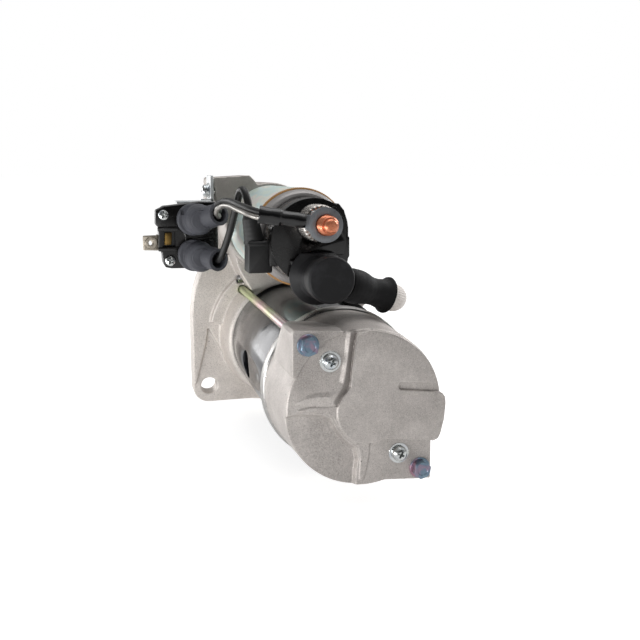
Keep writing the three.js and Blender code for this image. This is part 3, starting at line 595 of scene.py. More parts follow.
def plated(name, colours, rough=0.25, scale=0.12, metal=1.0, scratch=0.02, stretch=(1, 1, 1), offset=(0, 0, 0)):
    g = Graph(name)
    n = g.noise(g.vec(stretch, offset), scale, 3, 0.55)
    k = len(colours)
    c = g.ramp(n, [(0.30 + 0.40 * i / max(1, k - 1), q) for i, q in enumerate(colours)])
    fine = g.noise(g.vec((1, 1, 1)), 1.3, 4, 0.6)
    g.set(Base_Color=c, Metallic=metal, Roughness=g.band(fine, 0.3, 0.7, rough - 0.05, rough + 0.08))
    g.bump([(fine, scratch), (g.noise(g.vec((1, 0.1, 1)), 3.0, 2, 0.6), scratch * 0.5)])
    return g.m


def turned_metal(name, base, light, cx=0, cz=0, rough=0.3, rings=6.0, depth=0.012, metal=1.0, extra=None):
    g = Graph(name)
    v = g.polar(cx, cz, 0.4, 1.0, 1.0)
    lines = g.noise(v, rings, 2, 0.7)
    blot = g.noise(g.vec(), 0.09, 3, 0.6)
    c = g.mix(g.band(lines, 0.35, 0.7, 0.0, 0.5), base, light)
    c = g.mix(g.band(blot, 0.4, 0.7, 0.0, 0.4), c, extra or light)
    g.set(Base_Color=c, Metallic=metal, Roughness=g.band(blot, 0.3, 0.7, rough - 0.06, rough + 0.09))
    g.bump([(lines, depth)])
    return g.m


def moulded(name, base, light, rough=0.3, grain=1.2, depth=0.02, coat=0.0, specular=0.5, scuff=0.35, spread=0.12):
    g = Graph(name)
    p = g.vec()
    fine = g.noise(p, grain, 3, 0.6)
    dust = g.noise(p, spread, 5, 0.65)
    scratch = g.noise(g.vec((1.6, 0.25, 0.25), rot=(0.4, 0.5, 0.9)), 1.0, 4, 0.7)
    c = g.mix(g.band(dust, 0.5, 0.8, 0.0, scuff), base, light)
    c = g.mix(g.band(scratch, 0.66, 0.8, 0.0, scuff * 0.8), c, light)
    g.set(Base_Color=c, Roughness=g.band(dust, 0.3, 0.75, rough - 0.04, rough + 0.14), Coat_Weight=coat, Coat_Roughness=0.12, Specular_IOR_Level=specular)
    g.bump([(fine, depth), (dust, depth * 2)])
    return g.m


MAT = {}
# path of the painted shade band along the groove on the cover's face
GROOVE_SHADE_PATH = [(-7.0, 42.3), (-7.5, 36.6), (-10.2, 15.9), (-11.9, 11.1), (-15.9, 4.8)]
MAT["cast"] = cast_metal("cast_aluminium", srgb(182, 176, 172), srgb(154, 148, 144), srgb(212, 206, 201), edge=0.15, groove=GROOVE_SHADE_PATH)
# painted light: the same cast aluminium as the cover, made lighter to stand in for the stronger light on the flange,
# with painted shade towards its top
MAT["cast_flange_painted_light"] = cast_metal("cast_aluminium_flange_painted_light", srgb(218, 211, 205), srgb(196, 189, 183), srgb(238, 232, 226), grain=0.9, shade_z=True, edge=0.3)
MAT["yoke"] = turned_metal("yoke_steel", srgb(34, 34, 38), srgb(44, 44, 50), rough=0.12, rings=2.0, depth=0.003, extra=srgb(30, 30, 34), metal=0.55)
# painted shade: the relay contact's brass is made darker to stand in for the shade of the recess it sits in
MAT["contact"] = plated("contact_brass_painted_shade", [srgb(92, 74, 40), srgb(124, 100, 58)], rough=0.4)
MAT["knurl"] = plated("knurl_zinc", [srgb(146, 142, 138), srgb(178, 173, 168)], rough=0.24)
MAT["zinc_plate"] = plated("zinc_plate", [srgb(196, 198, 202), srgb(222, 224, 224), srgb(206, 210, 214)], rough=0.48, metal=0.7)
MAT["lip"] = turned_metal("machined_lip", srgb(170, 168, 166), srgb(205, 203, 200), rough=0.28, rings=5.0, depth=0.01)
MAT["zinc"] = plated("bright_zinc", [srgb(182, 185, 190), srgb(206, 208, 206), srgb(190, 198, 204)], rough=0.22)
MAT["zinc_dull"] = plated("zinc_dull", [srgb(176, 180, 184), srgb(206, 208, 206), srgb(190, 196, 200)], rough=0.32)
MAT["hex_zinc"] = plated("iridescent_zinc", [srgb(205, 140, 178), srgb(150, 165, 205), srgb(132, 172, 205), srgb(196, 150, 190)], rough=0.34, scale=0.19, scratch=0.01)
MAT["green_zinc"] = plated("green_zinc", [srgb(206, 228, 216), srgb(222, 236, 226), srgb(212, 232, 230), srgb(236, 236, 224), srgb(236, 228, 228)], metal=0.42, rough=0.38, scale=0.07, stretch=(1, 0.35, 1))
MAT["crimp"] = turned_metal("crimp_ring", srgb(150, 147, 146), srgb(168, 165, 163), -16.7, 85.3, rough=0.5, rings=3.0, depth=0.003, metal=0.6)
MAT["steel"] = turned_metal("machined_steel", srgb(140, 143, 147), srgb(178, 181, 184), rough=0.3, rings=5.0, depth=0.015)
MAT["dark_steel"] = plated("dark_steel", [srgb(82, 84, 88), srgb(104, 106, 110), srgb(92, 92, 96)], rough=0.42, scale=0.2)
MAT["eyelet"] = plated("eyelet_steel", [srgb(98, 102, 106), srgb(122, 126, 130), srgb(106, 110, 114)], rough=0.45, scale=0.9, metal=0.4, scratch=0.03, stretch=(3, 1, 0.25))
MAT["copper"] = turned_metal("copper", srgb(206, 122, 88), srgb(232, 164, 130), -16.8, 96.2, rough=0.26, rings=4.0, depth=0.01, metal=0.7, extra=srgb(168, 92, 66))
MAT["commutator"] = turned_metal("copper_commutator", srgb(190, 104, 60), srgb(214, 136, 86), rough=0.35, rings=5.0, depth=0.01)
MAT["enamel"] = plated("enamelled_wire", [srgb(140, 72, 34), srgb(176, 98, 50), srgb(154, 84, 42)], rough=0.35, scale=1.4, metal=0.6, scratch=0.08, stretch=(1, 0.12, 1))
MAT["bronze"] = turned_metal("bronze_bush", srgb(166, 124, 70), srgb(190, 150, 96), rough=0.45, rings=4.0, depth=0.01)
MAT["carbon"] = moulded("carbon_brush", srgb(44, 42, 42), srgb(86, 80, 76), rough=0.55, grain=3.0)
# this finish also carries the painted corner shade and painted edge highlight of cast_metal
MAT["fibre"] = cast_metal("brown_fibre", srgb(158, 112, 60), srgb(118, 78, 38), srgb(196, 150, 92), grain=2.0, rough=0.55, metal=0.0)
MAT["black_plastic"] = moulded("black_plastic", srgb(8, 7, 7), srgb(30, 29, 27), rough=0.2, grain=1.6, depth=0.01, specular=0.55, scuff=0.16)
MAT["black_satin"] = moulded("black_satin_plastic", srgb(14, 14, 15), srgb(50, 48, 46), rough=0.48, grain=2.2, depth=0.03, scuff=0.25)
MAT["heat_shrink"] = moulded("heat_shrink", srgb(8, 8, 9), srgb(36, 35, 35), rough=0.17, grain=0.7, depth=0.03, specular=0.6, scuff=0.12)
MAT["wire_black"] = moulded("wire_black", srgb(9, 9, 9), srgb(32, 31, 30), rough=0.44, grain=1.0, depth=0.02, scuff=0.14)
MAT["wire_silver"] = plated("wire_silver", [srgb(140, 137, 133), srgb(168, 164, 159), srgb(150, 147, 142)], rough=0.3, scale=0.12, metal=0.8, scratch=0.002)
MAT["grey_rubber"] = moulded("grey_rubber", srgb(66, 67, 73), srgb(104, 107, 114), rough=0.58, grain=1.0, depth=0.03, specular=0.4, scuff=0.35, spread=0.07)
MAT["black_rubber"] = moulded("black_rubber", srgb(17, 17, 19), srgb(64, 65, 68), rough=0.5, grain=1.1, depth=0.03, specular=0.3, scuff=0.42, spread=0.06)
MAT["tin"] = plated("tinned_brass", [srgb(136, 128, 116), srgb(168, 160, 148), srgb(148, 140, 128)], rough=0.4, scale=0.35, metal=0.8)
MAT["gold"] = plated("brass_contact", [srgb(98, 80, 48), srgb(140, 116, 70), srgb(82, 66, 40)], rough=0.3, scale=0.5)


def shank_finish():
    # yellow-green zinc that turns pink and back along the bolt
    g = Graph("through_bolt_plating")
    s = g.t.nodes.new("ShaderNodeSeparateXYZ")
    g.link(g.coord.outputs["Object"], s.inputs[0])
    wob = g.noise(g.vec((1, 0.4, 1)), 0.12, 3, 0.6)
    y = g.math("ADD", g.math("MULTIPLY", s.outputs[1], 1000.0), g.math("MULTIPLY", wob, 26.0))
    f = g.band(y, -182, 16, 0, 1)
    c = g.ramp(f, [(0.0, srgb(206, 168, 186)), (0.16, srgb(214, 190, 190)), (0.3, srgb(196, 200, 156)), (0.46, srgb(214, 176, 182)), (0.6, srgb(186, 200, 140)), (0.8, srgb(206, 214, 170)), (1.0, srgb(190, 206, 160))])
    fine = g.noise(g.vec(), 1.2, 3, 0.6)
    g.set(Base_Color=c, Metallic=0.9, Roughness=g.band(fine, 0.3, 0.7, 0.24, 0.36))
    g.bump([(fine, 0.015)])
    return g.m


MAT["shank"] = shank_finish()


def hex_finish():
    # blue heart, pink rim on the bolt heads
    g = Graph("bolt_head_plating")
    p = g.vec()
    n = g.noise(p, 0.16, 3, 0.6, 0.4)
    fine = g.noise(p, 2.0, 3, 0.6)
    c = g.ramp(n, [(0.34, srgb(164, 128, 142)), (0.46, srgb(142, 132, 150)), (0.54, srgb(112, 132, 150)), (0.66, srgb(124, 146, 160)), (0.74, srgb(158, 132, 148))])
    g.set(Base_Color=c, Metallic=0.8, Roughness=g.band(fine, 0.3, 0.7, 0.34, 0.46))
    g.bump([(fine, 0.02)])
    return g.m


MAT["hex"] = hex_finish()


def knit_finish():
    g = Graph("cotton_braid")
    p = g.vec()
    fine = g.noise(p, 2.6, 4, 0.7)
    soft = g.noise(p, 0.3, 3, 0.6)
    c = g.mix(g.band(fine, 0.3, 0.7, 0.0, 0.6), srgb(244, 236, 229), srgb(254, 252, 250))
    c = g.mix(g.band(soft, 0.35, 0.7, 0.0, 0.2), c, srgb(206, 194, 184))
    g.set(Base_Color=c, Roughness=0.92, Sheen_Weight=0.4, Sheen_Roughness=0.5)
    g.bump([(fine, 0.12), (g.voronoi(p, 1.6), 0.1)])
    return g.m


MAT["knit"] = knit_finish()


def sleeve_finish():
    g = Graph("sleeve_black")
    p = g.vec()
    fine = g.noise(p, 3.4, 4, 0.75)
    soft = g.noise(p, 0.12, 4, 0.6)
    c = g.mix(g.band(fine, 0.35, 0.8, 0.0, 0.5), srgb(11, 11, 12), srgb(32, 32, 34))
    c = g.mix(g.band(soft, 0.5, 0.75, 0.0, 0.3), c, srgb(40, 40, 43))
    g.set(Base_Color=c, Roughness=g.band(fine, 0.3, 0.7, 0.62, 0.85), Sheen_Weight=0.06, Specular_IOR_Level=0.25)
    g.bump([(fine, 0.09), (soft, 0.2)])
    return g.m


MAT["sleeve"] = sleeve_finish()


def paint(o, *mats):
    o.data.materials.clear()
    for m in mats:
        o.data.materials.append(MAT[m] if isinstance(m, str) else m)
    return o


made = []
REPLACED = set()


def keep(o, mat, body, slot, *nodes):
    """Finish a piece: material, body it rides on, material slot (not used) and the nodes it stands for."""
    if mat:
        paint(o, mat)
    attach(o, body)
    if nodes:
        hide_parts(*nodes)
        REPLACED.update(nodes)
    made.append(o)
    return o


# ------------------------------------------------------------------ driving positions (mm), as in the frame
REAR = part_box("rear_cover")[0].y / MM + 3.0            # rear cover's cast face
SOL = (-16.7, 85.3)
B = (-16.8, 96.2)
M = (-16.0, 68.4)
BOLTS = ((-31.6, 36.2), (31.6, -36.2))
SCREWS = ((-19.4, 26.7), (19.4, -26.7))

# ------------------------------------------------------------------ rear cover casting
FIELD = REAR - 1.4          # upper field and the land round the boss
LOW = REAR + 1.7            # sunk lower-left field
PLAT = REAR - 3.0
PAD = REAR - 2.1


def ridge(path_crest, path_valley, path_foot, y_crest, y_valley, y_foot, y_in):
    rows, verts = [], []
    n = len(path_crest)
    for i in range(n):
        c, v, f = path_crest[i], path_valley[i], path_foot[i]
        row = [(f[0], y_in, f[1]), (f[0], y_foot, f[1]), (c[0] - 0.25 * (c[0] - v[0]) * -1 * 0.0, y_crest[i], c[1]), (v[0], y_valley[i], v[1]), (v[0], y_in, v[1])]
        rows.append([len(verts) + k for k in range(5)])
        verts += row
    faces = [[A[k], A[(k + 1) % 5], Bq[(k + 1) % 5], Bq[k]] for A, Bq in zip(rows, rows[1:]) for k in range(5)]
    faces += [rows[0][::-1], rows[-1]]
    return new_obj("ridge", verts, faces)


def rear_cover():
    cup = lathe("cup", [(0, FIELD), (42.5, FIELD), (43.05, FIELD + 0.5), (43.4, REAR + 3), (45.3, -181), (45.7, -179.4), (46.0, -174.3), (39.6, -174.3), (39.6, -216), (36.5, -221.5), (19, -221.5), (19, -212.5), (15.4, -212.5), (15.4, -222), (0, -222)], 128, r=0.3)
    # sunk lower-left field: a shallow dish with sloping sides
    top = [(-52, -1.6), (-43.8, -1.2), (-37.1, -0.2), (-30.4, -0.9), (-24.1, -1.6), (-18.8, -4.2), (-15.9, -10.0), (-12.2, -15.0), (-7.4, -19.6), (-4.8, -21.2), (-3.4, -28), (-4.3, -35), (-4.6, -42), (-5, -52), (-30, -55), (-55, -30)]
    bot = [(-52, -3.6), (-43.8, -3.2), (-36.8, -2.4), (-30.0, -3.5), (-24.2, -4.1), (-19.8, -6.4), (-17.4, -11.3), (-13.6, -16.7), (-8.8, -21.4), (-6.4, -22.8), (-5.0, -28.5), (-5.9, -35.3), (-6.2, -42), (-6.6, -52), (-30, -54.6), (-54.6, -30)]
    cut = prism("cut", bot, LOW, FIELD - 0.001, top=[(a + (a - c) * 0.0, b) for (a, b), (c, d) in zip(top, bot)])
    for v in cut.data.vertices:
        if v.co.y < (FIELD + 0.1) * MM:
            v.co.y -= 0.4 * MM
    boolean(cup, cut)
    for s in SCREWS:
        boolean(cup, rod("cut", 6.1, FIELD - 3, FIELD + 0.9, 40, *s))
    parts = [cup]
    # raised plateau: sector and lug joined by the round boss, with a slot between them
    outline = [(-4.9, 41.0), (1.6, 42.2)] + arc(0, 0, 42.3, 84, 19, 16) + [(39.7, 11.6), (20.2, 13.2)] + arc(20.2, 11.1, 2.1, 90, 250, 7) + [(41.6, 6.5), (43.6, 5.6), (45.2, 3.4), (45.6, -0.5), (44.9, -9), (43.0, -17), (41.6, -19.9), (39.0, -21.0), (24, -19.4), (10.8, -17.7), (6.3, -19.0), (0.6, -19.6), (-5.3, -18.5), (-10.0, -14.9), (-13.8, -9.8), (-15.7, -4.0), (-15.6, 1.7), (-12.8, 7.9), (-8.6, 12.2), (-7.6, 26.3), (-6.2, 37.8)]
    parts.append(prism("plateau", outline, PLAT, FIELD + 3))
    # land round the boss, reaching left as a beak and down as a rib, almost level with the plateau
    LAND = PLAT + 0.8
    lo = [(-14.5, 2.4), (-22, 2.6), (-30, 3.4), (-36.6, 2.6), (-39.8, 1.4), (-37.1, -0.1), (-30.4, -0.8), (-24.1, -1.5), (-18.8, -4.1), (-15.9, -9.9), (-12.2, -14.9), (-7.4, -19.5), (-4.8, -21.1), (-3.4, -28), (-4.2, -35), (-4.4, -41.2), (-0.9, -41.8), (1.2, -40.8), (2.4, -34), (3.4, -26.4), (3.6, -19), (3, -8)]
    hi = [(-14.5, 2.2), (-21.9, 2.0), (-29.4, 2.5), (-34.6, 1.6), (-36.4, 1.1), (-34.6, 0.7), (-29.8, 0.1), (-23.6, -0.5), (-18.0, -3.3), (-15.0, -9.3), (-11.3, -14.2), (-6.6, -18.7), (-3.9, -20.7), (-2.5, -28), (-2.9, -34.6), (-2.9, -39.6), (-1.6, -40.6), (-0.8, -39.2), (0.6, -33.6), (2.0, -26.2), (2.4, -19), (3, -8)]
    parts.append(prism("land", hi, LAND, FIELD + 2, top=lo))
    # lug beyond the rim, tapering forward
    parts.append(hull("lug", [(x, REAR + 0.5, z) for x, z in [(41, 6.2), (43.2, 5.9), (45.2, 3.6), (45.7, -1), (44.9, -9), (43, -17), (41.6, -19.9), (39.0, -21.0), (30, -20), (30, 6)]] +
                 [(x, PLAT + 0.2, z) for x, z in [(41, 6.2), (43.2, 5.7), (45.0, 3.4), (45.4, -1), (44.7, -9), (42.8, -17), (41.4, -19.7), (39.0, -20.8), (30, -19.8), (30, 6)]] +
                 [(x, -196, z) for x, z in [(41, 5.6), (43.4, 4.2), (44.8, -2), (44.4, -14), (42.4, -18), (36, -19), (30, 5)]]))
    # curved ridge beside the plateau; it bends left and tapers away over the land
    crest = [(-8.9, 42.0), (-9.5, 37.8), (-10.2, 29.6), (-11.4, 21.4), (-13.0, 14.6), (-16.6, 10.2), (-19.6, 8.0), (-22.7, 8.2), (-27.1, 8.3), (-32.5, 7.5), (-37.8, 5.4)]
    valley = [(-4.9, 41.0), (-5.9, 36.3), (-7.4, 26.9), (-8.2, 17.4), (-9.0, 11.9), (-12.3, 7.9), (-14.9, 3.4), (-17.2, 2.0), (-21.5, 2.0), (-28.5, 3.3), (-37.7, 5.0)]
    foot = [(-10.9, 42.2), (-11.8, 37.8), (-12.5, 29.6), (-13.7, 21.9), (-15.3, 16.2), (-18.4, 12.4), (-20.8, 10.4), (-23.0, 10.8), (-27.3, 10.9), (-32.9, 9.3), (-38.0, 5.9)]
    yc = [PLAT - 0.05] * 6 + [PLAT, PLAT + 0.1, PLAT + 0.35, PLAT + 0.8, FIELD - 0.1]
    yv = [PLAT + 1.75] * 5 + [PLAT + 1.6, PLAT + 1.3, PLAT + 1.1, PLAT + 1.1, PLAT + 1.3, FIELD]
    parts.append(ridge(crest, valley, foot, yc, yv, FIELD + 0.4, FIELD + 3))
    # bolt ears
    ear = [(-39.6, 19.3), (-39.6, 43.6), (-38.9, 44.2), (-13.2, 42.3), (-13.6, 41.0), (-22.2, 38.0), (-28.6, 32.6), (-34.6, 24.6), (-37.6, 19.2)]
    for s in (1, -1):
        q = lambda x, y, z: (s * x, y, s * z)
        back = [(-39.7, 19.5), (-39.7, 41.6), (-38.2, 43.6), (-35.5, 43.9), (-12.5, 42.4), (-10, 20), (-22, 12)]
        if s < 0:
            back = [(-37.9, 21.5), (-38.1, 40.6), (-36.6, 42.6), (-34.0, 42.9), (-12.3, 40.6), (-8, 41.2), (-10, 20), (-22, 12)]
        front = [(-40.5, 21), (-35.5, 27), (-34.5, 34), (-35.4, 39.2), (-31.5, 40.6), (-26, 39), (-12.5, 40), (-10, 20), (-22, 12)]
        e = hull("ear", [q(x, FIELD + 0.1, z) for x, z in back] + [q(x, -213, z) for x, z in back] + [q(x, -184.5, z) for x, z in front])
        bore = lathe("cut", [(0, -214.0), (36.4, -214.0), (39.4, -212), (39.4, -170), (0, -170)], 64, r=0)
        boolean(e, bore)
        parts.append(e)
        if s > 0:
            pad = prism("pad", [(s * x, s * z) for x, z in ear], PAD, FIELD + 2)
        else:
            pad = prism("pad", [(s * x, s * z) for x, z in [(-37.9, 21.6), (-38.1, 42.2), (-37.6, 42.9), (-12.4, 40.8), (-13.0, 39.4), (-21.8, 37.0), (-28.0, 31.6), (-33.6, 24.4), (-34.6, 21.2)]], FIELD - 0.12, FIELD + 2)
        parts.append(pad)
    holes = [rod("cut", 3.3, -240, -150, 28, x, z) for x, z in BOLTS] + [rod("cut", 2.7, -240, -205, 24, x, z) for x, z in SCREWS]
    for p in parts:
        cut_all(p, holes, spend=False)
    for c in holes:
        drop(c)
    o = join("rear_cover_casting", parts)
    melt(o, 0.36, 1, 0.32)
    shade(o, None)
    return o


cover = rear_cover()
keep(cover, "cast", "root", "cast_aluminium", "rear_cover")
lip = lathe("rear_cover_lip", [(44.6, -181.9), (46.2, -181.4), (46.7, -178.6), (46.7, -174.4), (45.8, -174.4), (44.6, -176)], 160, r=0.35)
keep(lip, "lip", "root", "cast_aluminium")

# ------------------------------------------------------------------ bolts and screws


def through_bolt(name, x, z, seat):
    head = prism("hex", circle(0, 0, 5.15, 6, math.radians(18)), seat - 5.3, seat - 0.9)
    cone = lathe("cone", [(0, seat - 5.35), (4.35, seat - 5.3), (5.5, seat - 4.6), (5.5, seat), (0, seat)], 64, r=0)
    boolean(head, cone, "INTERSECT")
    bevel(head, 0.16, 2, 25)
    washer = lathe("w", [(0, seat - 1.25), (5.55, seat - 1.1), (5.9, seat - 0.6), (5.9, seat), (0, seat)], 64, r=0.15)
    dish = lathe("dish", [(0, seat - 4.95), (2.7, seat - 4.95), (3.0, seat - 5.25), (3.0, seat - 7), (0, seat - 7)], 32, r=0)
    boolean(head, dish)
    shade(head, 30)
    shank = rod("s", 2.8, seat - 0.5, -19.6, 40)
    end = lathe("e", [(0, -19.8), (2.8, -19.8), (2.8, -6), (2.2, -5.1), (0, -5.0)], 40, r=0.1)
    for o, m in ((head, "hex"), (washer, "hex"), (shank, "shank"), (end, "shank")):
        paint(o, m)
        move(o, x, 0, z)
    n = bpy.data.objects.new(name, None)
    keep(head, None, "root", "yellow_zinc", "through_bolt_" + name)
    for o, nm in ((head, "_head"), (washer, "_flange"), (shank, "_shank"), (end, "_thread")):
        o.name = "through_bolt_" + name + nm
        if o is not head:
            keep(o, None, "root", "yellow_zinc")
    bpy.data.objects.remove(n)


through_bolt("upper", *BOLTS[0], PAD)
through_bolt("lower", *BOLTS[1], FIELD)


def pan_screw(name, seat, mat="zinc", r=4.2, washer=5.15, shank=None, spring=True, scale=1.0):
    """Phillips pan head standing towards -Y from seat, with its washers; returns its parts."""
    head = lathe("h", [(0, seat - 5.0), (1.6, seat - 4.95), (2.9, seat - 4.6), (r - 0.25, seat - 3.6), (r, seat - 2.6), (r - 0.15, seat - 1.95), (0, seat - 1.95)], 64, r=0.3)
    for k in (0, 1):
        w, d = 0.52, 2.35
        c = [(-d, -w), (d, -w), (d, w), (-d, w)] if k == 0 else [(-w, -d), (w, -d), (w, d), (-w, d)]
        t = [(a * (0.45 if abs(a) > 1 else 0.7), b * (0.45 if abs(b) > 1 else 0.7)) for a, b in c]
        boolean(head, prism("cut", c, seat - 5.6, seat - 2.9, top=t))
    boolean(head, lathe("cut", [(0, seat - 5.6), (1.25, seat - 5.6), (0.45, seat - 2.7), (0, seat - 2.7)], 24, r=0))
    bevel(head, 0.09, 2, 40, 30)
    parts = [head]
    if spring:
        sw = lathe("sw", [(2.4, seat - 1.95), (r + 0.05, seat - 1.95), (r + 0.05, seat - 1.0), (2.4, seat - 1.0)], 56, r=0.2)
        parts.append(sw)
    if washer:
        parts.append(lathe("w", [(2.3, seat - 1.0), (washer, seat - 1.0), (washer, seat), (2.3, seat)], 64, r=0.22))
    if shank:
        parts.append(rod("s", 2.25, seat - 2.2, seat + shank, 28))
    o = join(name, parts)
    shade(o, 32)
    paint(o, mat)
    return o


for nm, (x, z), tw in (("upper", SCREWS[0], 22), ("lower", SCREWS[1], 27)):
    o = pan_screw("cover_screw_%s_head" % nm, FIELD + 0.85, shank=23, washer=5.75)
    turn_about(o, "Y", tw)
    move(o, x, 0, z)
    keep(o, None, "root", "bright_zinc", "cover_screw_" + nm)

# ------------------------------------------------------------------ yoke
yoke = tube("yoke_tube", 43, 38.5, -174, -43.9, 192, r=0.5)
ov = rod("ov", 1, -10, 10, 48)
ov.data.transform(Matrix.Rotation(math.radians(90), 4, "Z"))
for v in ov.data.vertices:
    v.co.y *= 11.2
    v.co.z *= 9.4
move(ov, -42, -101.5, -3.2)
boolean(yoke, ov)
GROM, GDIR = (24.2, -122, 35.6), (0.562, 0, 0.827)
boolean(yoke, place(rod("g", 8.8, -10, 12, 40), GROM, GDIR))
bevel(yoke, 0.3, 2, 40, 35)
keep(yoke, "yoke", "root", "yoke_steel", "yoke")

# ------------------------------------------------------------------ front housing casting
EARS = ((-57.7, -39.3), (61.6, 33.2))
FLANGE = [(-70, -40.5)] + arc(-58.2, -40.3, 11.9, 180, 270, 8) + [(-25, -52), (-8, -54)] + arc(0, 0, 54.5, -82, -8, 12) + [(62, 18)] + arc(61.6, 33.2, 12.8, -40, 95, 10) + [(42, 54), (22, 70), (11, 92), (1, 107), (-14, 114.6), (-26, 117.4), (-31, 121.4), (-56.4, 120), (-57, 104), (-50, 78), (-52, 60)] + arc(0, 19, 69.5, 143, 177, 10) + [(-70, 20)]
LEAN = math.asin(0.1921)


def front_housing():
    parts = [prism("f", round2d(FLANGE, 2, 3), -16, 0)]
    parts.append(lathe("ring", [(0, -43.6), (44, -43.6), (45.6, -42), (49, -17), (49, -14), (0, -14)], 96, r=0.4))
    # raised upper-left field of the flange with a step down to the bolt ear
    field = [(-69.6, -37.5), (-67.8, -36.5), (-59.4, -4.0), (-58.0, 7.5), (-38.3, -28.4)] + arc(0, 0, 46, 205, 118, 14) + [(-33, 62), (-49, 62), (-50.5, 60)] + arc(0, 19, 69.1, 144, 177, 10) + [(-69.6, 20)]
    parts.append(prism("field", field, -18.2, -12))
    parts.append(prism("shoulder", arc(0, 0, 57.2, 168, 112, 12) + arc(0, 0, 45, 112, 168, 12), -23.2, -14))
    for x, z in BOLTS:
        parts.append(rod("lug", 6.2, -22, -2, 40, x, z))
    parts.append(lathe("seat", [(0, -60), (30.7, -60), (31.3, -59.2), (31.3, -12), (0, -12)], 96, *SOL, r=0.3))
    parts.append(prism("blk", round2d([(-56.4, 120), (-31, 121.6), (-26.8, 117.2), (-20, 104), (-30, 66), (-41, 74), (-51.5, 96), (-55, 104.6)], 0.9, 3), -60, -12))
    parts.append(prism("neck", [(-46, 78), (-37, 52), (-24, 30), (22, 30), (14, 68), (10, 82)], -50, -12))
    parts.append(lathe("nose", [(0, -2), (44.5, -2), (44.5, 6.2), (43.8, 7), (38, 7.5), (36, 12), (31, 30), (30, 52), (22, 60), (15.5, 64), (14.5, 74), (0, 74)], 96, r=0.8))
    cuts = [rod("c", 43.5, -70, -43.6, 96), rod("c", 36, -45, -40.5, 64), rod("c", 23, -38.7, 54, 64), rod("c", 11.6, -41, -38, 48), rod("c", 10.2, 50, 76, 48)]
    for x0, x1, z0, z1 in ((-20.5, 20.5, 2, 38), (-9, 9, 30, 98)):
        c = block("c", x0, x1, -38.7, -9.5, z0, z1)
        turn_about(c, "Y", -math.degrees(LEAN))
        cuts.append(c)
    cuts.append(rod("c", 14.6, -62, -9.5, 48, *SOL))
    win = block("c", 4, 60, 10.5, 50, -26, 26)
    cuts.append(win)
    for x, z in EARS:
        cuts.append(rod("c", 6.25, -30, 5, 48, x, z))
    for x, z in BOLTS:
        cuts.append(rod("c", 3.3, -60, -4, 32, x, z))
    pinhole = rod("c", 3.4, -27, 60, 32)
    pinhole.data.transform(Matrix.Rotation(math.radians(-90), 4, "Z"))
    move(pinhole, 0, -23.4, 50)
    turn_about(pinhole, "Y", -math.degrees(LEAN))
    cuts.append(pinhole)
    scr = rod("c", 2.9, -14, 10, 24)
    scr.data.transform(Matrix.Rotation(math.radians(90), 4, "Z"))
    move(scr, -54, -56, 111)
    cuts.append(scr)
    for p in parts:
        cut_all(p, cuts, spend=False)
    for c in cuts:
        drop(c)
    o = join("front_housing_casting", parts)
    melt(o, 0.6, 3, 0.4)
    return o


housing = front_housing()
keep(housing, "cast_flange_painted_light", "root", "cast_aluminium", "front_housing")


# ------------------------------------------------------------------ solenoid
Y0, Y1 = -149.5, -60.3
case = lathe("solenoid_case_shell", [(13.8, Y1 - 3.7), (13.8, Y1), (28.7, Y1), (29.3, Y1 - 1.5), (29.3, Y0), (26.4, Y0), (26.4, Y1 - 3.7)], 160, *SOL, r=0.4)
keep(case, "green_zinc", "root", "green_zinc", "solenoid_case")
N = 150
gasket = grid_turned("gasket_ring_cord", lambda y, a: 29.15 + 0.42 * math.sin(math.pi * (y + 152) / 2.2) ** 0.6 + 0.10 * math.cos(N * a + 2.6 * (y + 152)), -152, -149.8, 8, 900, *SOL, inner=26.6)
keep(gasket, "fibre", "root", "brown_fibre", "gasket_ring")
ring = lathe("solenoid_crimp_ring", [(3.6, -160), (25.0, -160), (26.4, -159.6), (27.5, -158.2), (28.3, -154.8), (28.5, -152.4), (26, -152.4), (26, -121), (12, -121), (12, -113), (3.6, -113)], 160, *SOL, r=0.5, n=4)
keep(ring, "crimp", "root", "bright_zinc", "solenoid_end_ring")


